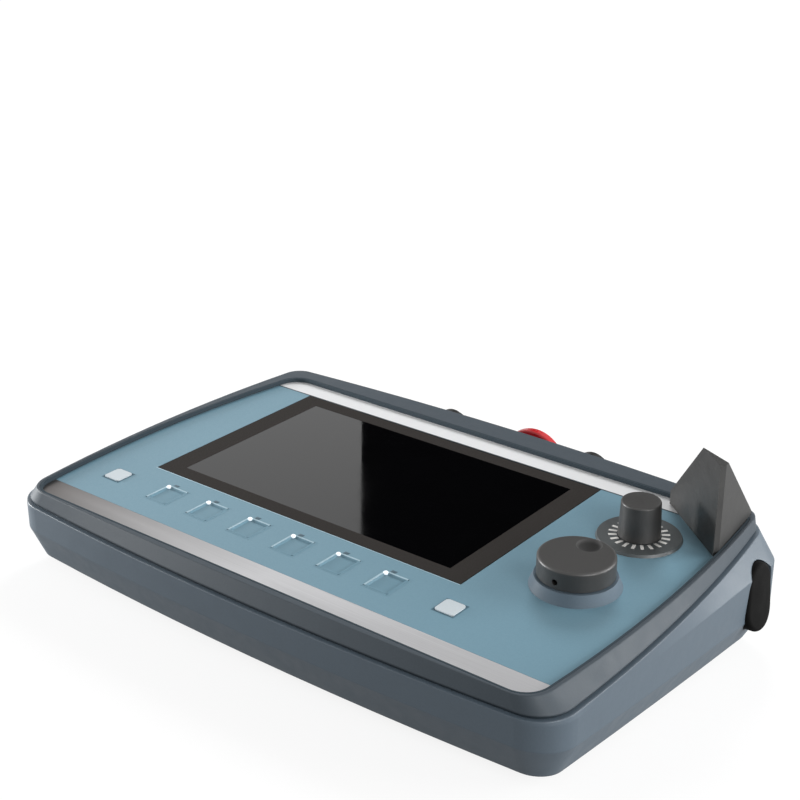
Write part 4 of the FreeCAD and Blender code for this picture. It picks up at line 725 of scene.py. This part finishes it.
def model_lamp(radius, height):
    """Low round lens with a domed top."""
    dome = 0.8 * height
    middle = (0, 0, height / 2)
    deselect()
    bpy.ops.mesh.primitive_cylinder_add(vertices=24, radius=radius, depth=height, location=middle)
    lens = bpy.context.object
    bpy.ops.object.mode_set(mode="EDIT")
    select_faces(lambda face: face.normal.z > FACING)
    bpy.ops.mesh.bevel(offset=dome, segments=4, affect="EDGES")
    bpy.ops.object.mode_set(mode="OBJECT")
    return lens


def model_socket(radius, height):
    """Thin six-sided plate with a sunk face, which shows as the socket in a screw's head."""
    rim, sink = 0.15 * radius, 0.3 * height
    deselect()
    bpy.ops.mesh.primitive_cylinder_add(vertices=6, radius=radius, depth=height, location=(0, 0, 0))
    socket = bpy.context.object
    bpy.ops.object.mode_set(mode="EDIT")
    select_faces(lambda face: face.normal.z < -FACING)
    bpy.ops.mesh.inset(thickness=rim, depth=-sink)
    bpy.ops.object.mode_set(mode="OBJECT")
    return socket


def model_bar(length, width, height):
    """Flat bar along Y from the origin, with softened corners."""
    softening = 0.4 * height
    deselect()
    bpy.ops.mesh.primitive_cube_add(size=1, location=(0, 0, 0))
    bar = bpy.context.object
    bpy.ops.object.mode_set(mode="EDIT")
    bpy.ops.mesh.select_all(action="SELECT")
    bpy.ops.transform.resize(value=(width, length, height))
    bpy.ops.transform.translate(value=(0, length / 2, height / 2))
    select_faces(lambda face: face.normal.z > FACING)
    bpy.ops.mesh.bevel(offset=softening, segments=2, affect="EDGES")
    bpy.ops.object.mode_set(mode="OBJECT")
    return bar


def model_frame(reach, opening, height):
    """Flat frame between an outer and an inner rectangle."""
    margin = min(reach) / 4
    stretch = [inner / (outer - 2 * margin) for inner, outer in zip(opening, reach)]
    deselect()
    bpy.ops.mesh.primitive_plane_add(size=1, location=(0, 0, 0))
    border = bpy.context.object
    bpy.ops.object.mode_set(mode="EDIT")
    bpy.ops.mesh.select_all(action="SELECT")
    bpy.ops.transform.resize(value=(*reach, 1))
    bpy.ops.mesh.inset(thickness=margin)
    bpy.ops.transform.resize(value=(*stretch, 1))
    bpy.ops.mesh.delete(type="FACE")
    bpy.ops.mesh.select_all(action="SELECT")
    bpy.ops.mesh.extrude_region_move(TRANSFORM_OT_translate={"value": (0, 0, height)})
    bpy.ops.mesh.select_all(action="SELECT")
    bpy.ops.mesh.normals_make_consistent(inside=False)
    bpy.ops.object.mode_set(mode="OBJECT")
    return border


class PANEL_OT_housing(bpy.types.Operator):
    """Finish the housing shells, the cover below them and the seal between them"""

    bl_idname = "panel.housing"
    bl_label = "Housing"

    def execute(self, context):
        dress(["lower_housing", "rear_cover"], textured_abs_housing())
        dress(["upper_housing"], textured_abs_rim())
        dress(["housing_seal"], dark_grey_gasket())
        return {"FINISHED"}


class PANEL_OT_films(bpy.types.Operator):
    """Finish the blue overlay, the strips beside it and the bead round them"""

    bl_idname = "panel.films"
    bl_label = "Overlay and strips"

    def execute(self, context):
        dress(["front_overlay"], matt_film_overlay())
        dress(["overlay_bead"], dark_grey_bead())
        dress(["silver_strip"], brushed_metal_film())
        dress(["header_strip"], white_film_header())
        self.add_lip()
        return {"FINISHED"}

    def add_lip(self):
        """Raise the bead round the overlay to the crest of the rim, so that it shows as a line all round:
        the raised dark bead covers the rim's inner wall, painted shade where that wall lies in shadow.
        """
        shade_lip = merged_copy("overlay_bead", "overlay_bead_lip")
        bpy.ops.object.mode_set(mode="EDIT")
        crest = span("upper_housing", FACE_UP)[1]
        top = span("overlay_bead", FACE_UP)[1]
        select_faces(lambda face: face.normal.dot(FACE_UP) > FACING)
        rise = FACE_UP * (crest - top)
        bpy.ops.mesh.extrude_region_move(TRANSFORM_OT_translate={"value": rise})
        bpy.ops.object.mode_set(mode="OBJECT")
        settle(shade_lip, Matrix.Identity(4), dark_grey_bead(), "housing")
        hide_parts("overlay_bead")


class PANEL_OT_screen(bpy.types.Operator):
    """Finish the screen and what stands behind it, and print the border round the display"""

    bl_idname = "panel.screen"
    bl_label = "Screen"

    def execute(self, context):
        dress(["touch_glass"], coated_glass_screen())
        dress(["display_module", "display_frame", "frame_screws", "board_screws"], zinc_plated_steel())
        dress(["main_board", "keypad_board"], green_circuit_board())
        self.add_border()
        self.add_glass_edge()
        return {"FINISHED"}

    def add_border(self):
        """Dark print on the glass, from its edge to the display."""
        size = sizes()
        (left, right), (front, rear), (_, top) = face_box("touch_glass")
        reach = (right - left - 2 * size.border_inset, rear - front - 2 * size.border_inset)
        opening = (size.screen_length, size.screen_depth)
        border = model_frame(reach, opening, size.print_height)
        border.name = "screen_border"
        spot = face_matrix((left + right) / 2, (front + rear) / 2, top)
        settle(border, spot, matt_black_print(), "housing")

    def add_glass_edge(self):
        """Painted highlight where the cut edge of the film in front of the glass would catch the light."""
        size = sizes()
        (left, right), (front, _), _ = face_box("touch_glass")
        edge = model_bar(right - left, size.glass_edge, size.print_height)
        edge.name = "glass_front_edge"
        surface = span("front_overlay", FACE_UP)[1]
        spot = face_matrix(left, front - size.glass_edge, surface, TO_RIGHT)
        settle(edge, spot, pale_print_ink(), "housing")


class PANEL_OT_keys(bpy.types.Operator):
    """Finish the keys and add their lamps, painted highlights along their edges, painted lamp shadows, and
    the films and painted shade lines round them
    """

    bl_idname = "panel.keys"
    bl_label = "Keys"

    def execute(self, context):
        dress(FUNCTION_KEYS, blue_key_cap())
        dress(WHITE_KEYS, white_key_cap())
        dress(["key_switches"], zinc_plated_steel())
        self.add_edges()
        self.add_lamps()
        self.add_films()
        return {"FINISHED"}

    def add_lamps(self):
        """Lamp in the rear left corner of each function key, and a dark mark behind it, the lamp's painted
        shadow.
        """
        size = sizes()
        lens = model_lamp(size.lamp_radius, size.lamp_height)
        mark = model_bar(size.mark_length, size.mark_width, size.print_height)
        surface = span("front_overlay", FACE_UP)[1]
        for key in FUNCTION_KEYS:
            (left, _), (_, rear), (_, top) = face_box(key)
            lamp = copied(lens, f"{key}_lamp")
            spot = face_matrix(left + size.lamp_inset, rear - size.lamp_inset, top - size.lamp_sink)
            settle(lamp, spot, clear_lamp_lens(), f"{key}_body")
            shadow_dash = copied(mark, f"{key}_mark")
            spot = face_matrix(left + size.mark_shift, rear + size.mark_width / 2, surface, TO_RIGHT)
            settle(shadow_dash, spot, dark_print_ink(), "housing")
        for start in (lens, mark):
            bpy.data.objects.remove(start)

    def add_edges(self):
        """Painted highlight: pale lines along the left and the rear edge of each function key, the edges
        that would catch the light.
        """
        size = sizes()
        half = size.edge_width / 2
        for key in FUNCTION_KEYS:
            (left, right), (front, rear), (_, top) = face_box(key)
            width, depth = right - left, rear - front
            side = model_bar(depth - 2 * half, size.edge_width, size.print_height)
            side.matrix_world = Matrix.Translation((half, half, 0))
            back = model_bar(width - 2 * half, size.edge_width, size.print_height)
            corner = Matrix.Translation((half, depth - half, 0))
            back.matrix_world = corner @ Matrix.Rotation(TO_RIGHT, 4, "Z")
            # The joined bars are the painted highlight of the key's lit edges.
            edge = joined([side, back], f"{key}_edge")
            settle(edge, face_matrix(left, front, top), pale_print_ink(), f"{key}_body")

    def add_films(self):
        """Film that closes the gap round each key; round the white ones it is a shade deeper, painted shade
        along their edges.
        """
        size = sizes()
        surface = span("front_overlay", FACE_UP)[1]
        finishes = {key: matt_film_overlay() for key in FUNCTION_KEYS}
        finishes.update({key: soft_print_ink() for key in WHITE_KEYS})
        for key, material in finishes.items():
            (left, right), (front, rear), _ = face_box(key)
            opening = (right - left + 2 * size.key_gap, rear - front + 2 * size.key_gap)
            reach = tuple(inner + 2 * size.film_width for inner in opening)
            film = model_frame(reach, opening, size.print_height)
            film.name = f"{key}_film"
            spot = face_matrix((left + right) / 2, (front + rear) / 2, surface)
            settle(film, spot, material, "housing")


class PANEL_OT_handwheel(bpy.types.Operator):
    """Finish the handwheel, its collar and its encoder"""

    bl_idname = "panel.handwheel"
    bl_label = "Handwheel"

    def execute(self, context):
        dress(["handwheel_knob"], satin_black_wheel())
        dress(["handwheel_collar"], grey_abs_collar())
        dress(["handwheel_shaft", "handwheel_nut"], zinc_plated_steel())
        dress(["handwheel_encoder"], dark_switch_body())
        return {"FINISHED"}


class PANEL_OT_override(bpy.types.Operator):
    """Finish the override knob and its dial, and print the marks round it"""

    bl_idname = "panel.override"
    bl_label = "Override"

    def execute(self, context):
        dress(["override_knob"], satin_black_knob())
        dress(["override_dial"], printed_dial_disc())
        dress(["override_shaft", "override_nut"], zinc_plated_steel())
        dress(["override_switch"], dark_switch_body())
        self.add_marks()
        return {"FINISHED"}

    def add_marks(self):
        """Even ring of white marks on the dial."""
        size = sizes()
        (left, right), (front, rear), (_, top) = face_box("override_dial")
        bar = model_bar(size.tick_length, size.tick_width, size.print_height)
        marks = []
        for number in range(size.tick_count):
            turn = 2 * math.pi * number / size.tick_count
            mark = copied(bar, f"mark_{number}")
            mark.matrix_world = Matrix.Rotation(turn, 4, "Z") @ Matrix.Translation((0, size.tick_start, 0))
            marks.append(mark)
        bpy.data.objects.remove(bar)
        scale = joined(marks, "override_scale")
        spot = face_matrix((left + right) / 2, (front + rear) / 2, top)
        settle(scale, spot, white_dial_ink(), "housing")


class PANEL_OT_guard(bpy.types.Operator):
    """Finish the guard in the rear corner"""

    bl_idname = "panel.guard"
    bl_label = "Corner guard"

    def execute(self, context):
        dress(["corner_guard"], charcoal_abs_guard())
        dress(["guard_screws"], zinc_plated_steel())
        return {"FINISHED"}


class PANEL_OT_stop(bpy.types.Operator):
    """Finish the emergency stop, with room in the collar for the pressed head"""

    bl_idname = "panel.stop"
    bl_label = "Emergency stop"

    def execute(self, context):
        dress(["estop_head"], glossy_red_head())
        dress(["estop_collar"], satin_black_bezel())
        dress(["estop_stem", "estop_nut"], zinc_plated_steel())
        dress(["estop_contacts"], dark_switch_body())
        self.make_room()
        return {"FINISHED"}

    def make_room(self):
        """Lower the collar's top ring, which the fully pressed head would touch."""
        crest = span("estop_collar", FACE_REAR)[1]

        def on_ring(face):
            level = face.calc_center_median().dot(FACE_REAR)
            return face.normal.dot(FACE_REAR) > FACING and level > crest - CREST_SLACK

        collar = merged_copy("estop_collar", "estop_collar_relieved")
        bpy.ops.object.mode_set(mode="EDIT")
        select_faces(on_ring)
        bpy.ops.transform.translate(value=-sizes().stop_room * FACE_REAR)
        bpy.ops.object.mode_set(mode="OBJECT")
        settle(collar, Matrix.Identity(4), satin_black_bezel(), "housing", crease=15)
        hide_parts("estop_collar")


class PANEL_OT_buttons(bpy.types.Operator):
    """Finish the push buttons on the rear wall and the enabling buttons in the corners"""

    bl_idname = "panel.buttons"
    bl_label = "Buttons"

    def execute(self, context):
        for side in ("left", "right"):
            dress([f"{side}_button_bezel"], satin_black_bezel())
            dress([f"{side}_button_cap", f"enabling_button_{side}"], soft_black_rubber())
            dress([f"{side}_button_switch", f"enabling_switch_{side}"], dark_switch_body())
        return {"FINISHED"}


class PANEL_OT_underside(bpy.types.Operator):
    """Finish the cable inlet, the feet and the screws, and show the cover screws' sockets"""

    bl_idname = "panel.underside"
    bl_label = "Inlet, feet and screws"

    def execute(self, context):
        dress(["cable_gland", "gland_nut"], satin_black_bezel())
        dress(["front_feet", "rear_feet"], soft_black_rubber())
        dress(["cover_screws", "housing_screws"], zinc_plated_steel())
        self.add_sockets()
        return {"FINISHED"}

    def add_sockets(self):
        """Dark socket in the head of each of the four cover screws, in black that paints the shade of the
        recess.
        """
        size = sizes()
        low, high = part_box("cover_screws")
        inset = size.screw_head
        spots = [(x, y) for x in (low.x + inset, high.x - inset) for y in (low.y + inset, high.y - inset)]
        plate = model_socket(size.socket_radius, 2 * size.print_height)
        sockets = []
        for number, (x, y) in enumerate(spots, 1):
            socket = copied(plate, f"cover_socket_{number}")
            socket.matrix_world = Matrix.Translation((x, y, low.z))
            sockets.append(socket)
        bpy.data.objects.remove(plate)
        group = joined(sockets, "cover_sockets")
        # The black print is painted shade of the recessed sockets in the zinc heads.
        settle(group, Matrix.Identity(4), matt_black_print(), "housing")


class PANEL_OT_stage(bpy.types.Operator):
    """Set up the floor, the studio light and the camera"""

    bl_idname = "panel.stage"
    bl_label = "Stage"

    def execute(self, context):
        context.scene.view_settings.view_transform = "Standard"
        self.add_floor()
        self.add_world()
        self.add_lamps()
        self.add_card()
        self.add_camera()
        return {"FINISHED"}

    def add_floor(self):
        """Pale floor that shows white, also in reflections, and keeps the panel's shadow."""
        stage = stage_settings()
        deselect()
        bpy.ops.mesh.primitive_plane_add(size=stage.floor_side, location=(0, 0, CAD_BOX[0].z))
        floor = bpy.context.object
        floor.name = "floor"
        material = bpy.data.materials.new("white_studio_floor")
        material.use_nodes = True
        shader = material.node_tree.nodes["Principled BSDF"]
        feed(shader, Base_Color=solid(stage.floor_colour), Roughness=0.9, Specular_IOR_Level=0.0)
        place = add(shader, "ShaderNodeTexCoord").outputs["Object"]
        away = add(shader, "ShaderNodeVectorMath", {0: place}, operation="LENGTH").outputs["Value"]
        level = add(shader, "ShaderNodeMapRange", {
            "Value": away, "From Min": stage.glow_start, "From Max": stage.glow_end,
            "To Min": stage.floor_glow, "To Max": 1.0}).outputs["Result"]
        seen = seen_directly(shader, mirrored=stage.floor_mirrored)
        glow = add(shader, "ShaderNodeMath", {0: seen, 1: level}, operation="MULTIPLY").outputs[0]
        feed(shader, Emission_Color=solid(WHITE), Emission_Strength=glow)
        floor.data.materials.append(material)

    def add_world(self):
        """White backdrop that lights the panel less brightly than it shows."""
        world = bpy.data.worlds.new("white_studio")
        world.use_nodes = True
        backdrop = world.node_tree.nodes["Background"]
        levels = {"Factor": seen_directly(backdrop), "A": stage_settings().ambient, "B": 1.0}
        level = add(backdrop, "ShaderNodeMix", levels).outputs["Result"]
        feed(backdrop, Color=solid(WHITE), Strength=level)
        bpy.context.scene.world = world

    def add_lamps(self):
        """Square lamps that face the middle of the panel."""
        stage = stage_settings()
        aim = (CAD_BOX[0] + CAD_BOX[1]) / 2
        for name in STAGE_LAMPS:
            place = Vector(getattr(stage, f"{name}_place"))
            bpy.ops.object.light_add(type="AREA", location=place)
            lamp = bpy.context.object
            lamp.name = f"{name}_lamp"
            lamp.data.size = getattr(stage, f"{name}_width")
            lamp.data.energy = getattr(stage, f"{name}_power")
            lamp.rotation_euler = (aim - place).to_track_quat("-Z", "Y").to_euler()
        # The lamp behind the panel stays out of reflections, where it would whiten the films.
        bpy.data.objects["top_lamp"].visible_glossy = False

    def add_card(self):
        """Dark card that only shows as the reflection in the right half of the screen."""
        stage = stage_settings()
        deselect()
        bpy.ops.mesh.primitive_plane_add(size=1, location=stage.card_place)
        card = bpy.context.object
        card.name = "dark_card"
        card.scale = (stage.card_width, stage.card_height, 1)
        aim = Vector((0, 0, stage.card_aim)) - card.location
        card.rotation_euler = aim.to_track_quat("Z", "Y").to_euler()
        material = bpy.data.materials.new("black_card")
        material.use_nodes = True
        shader = material.node_tree.nodes["Principled BSDF"]
        feed(shader, Base_Color=solid(stage.card_colour), Roughness=1.0, Specular_IOR_Level=0.0)
        card.data.materials.append(material)
        card.visible_camera = False
        card.visible_diffuse = False
        card.visible_shadow = False

    def add_camera(self):
        """Camera at the photograph's viewing angle."""
        stage = stage_settings()
        bpy.ops.object.camera_add(location=stage.camera_place, rotation=stage.camera_turn)
        camera = bpy.context.object
        camera.name = "camera"
        camera.data.sensor_width = SENSOR_WIDTH_MM
        camera.data.lens = stage.camera_lens
        bpy.context.scene.camera = camera


OPERATORS = [
    PANEL_OT_housing,
    PANEL_OT_films,
    PANEL_OT_screen,
    PANEL_OT_keys,
    PANEL_OT_handwheel,
    PANEL_OT_override,
    PANEL_OT_guard,
    PANEL_OT_stop,
    PANEL_OT_buttons,
    PANEL_OT_underside,
    PANEL_OT_stage,
]


class PANEL_PT_pieces(bpy.types.Panel):
    """Pieces of the operator panel, in the order that they are made"""

    bl_idname = "PANEL_PT_pieces"
    bl_label = "Operator panel"
    bl_space_type = "VIEW_3D"
    bl_region_type = "UI"
    bl_category = "Panel"

    def draw(self, context):
        for operator in OPERATORS:
            self.layout.operator(operator.bl_idname)


GROUPS = {"panel_colours": PanelColours, "panel_sizes": PanelSizes, "panel_stage": StageSettings}


def register():
    for name, group in GROUPS.items():
        bpy.utils.register_class(group)
        setattr(bpy.types.Scene, name, PointerProperty(type=group))
    for item in (*OPERATORS, PANEL_PT_pieces):
        bpy.utils.register_class(item)


def unregister():
    for item in (PANEL_PT_pieces, *reversed(OPERATORS)):
        bpy.utils.unregister_class(item)
    for name, group in GROUPS.items():
        delattr(bpy.types.Scene, name)
        bpy.utils.unregister_class(group)


def main():
    register()
    bpy.ops.panel.housing()
    bpy.ops.panel.films()
    bpy.ops.panel.screen()
    bpy.ops.panel.keys()
    bpy.ops.panel.handwheel()
    bpy.ops.panel.override()
    bpy.ops.panel.guard()
    bpy.ops.panel.stop()
    bpy.ops.panel.buttons()
    bpy.ops.panel.underside()
    bpy.ops.panel.stage()


if __name__ == "__main__":
    main()
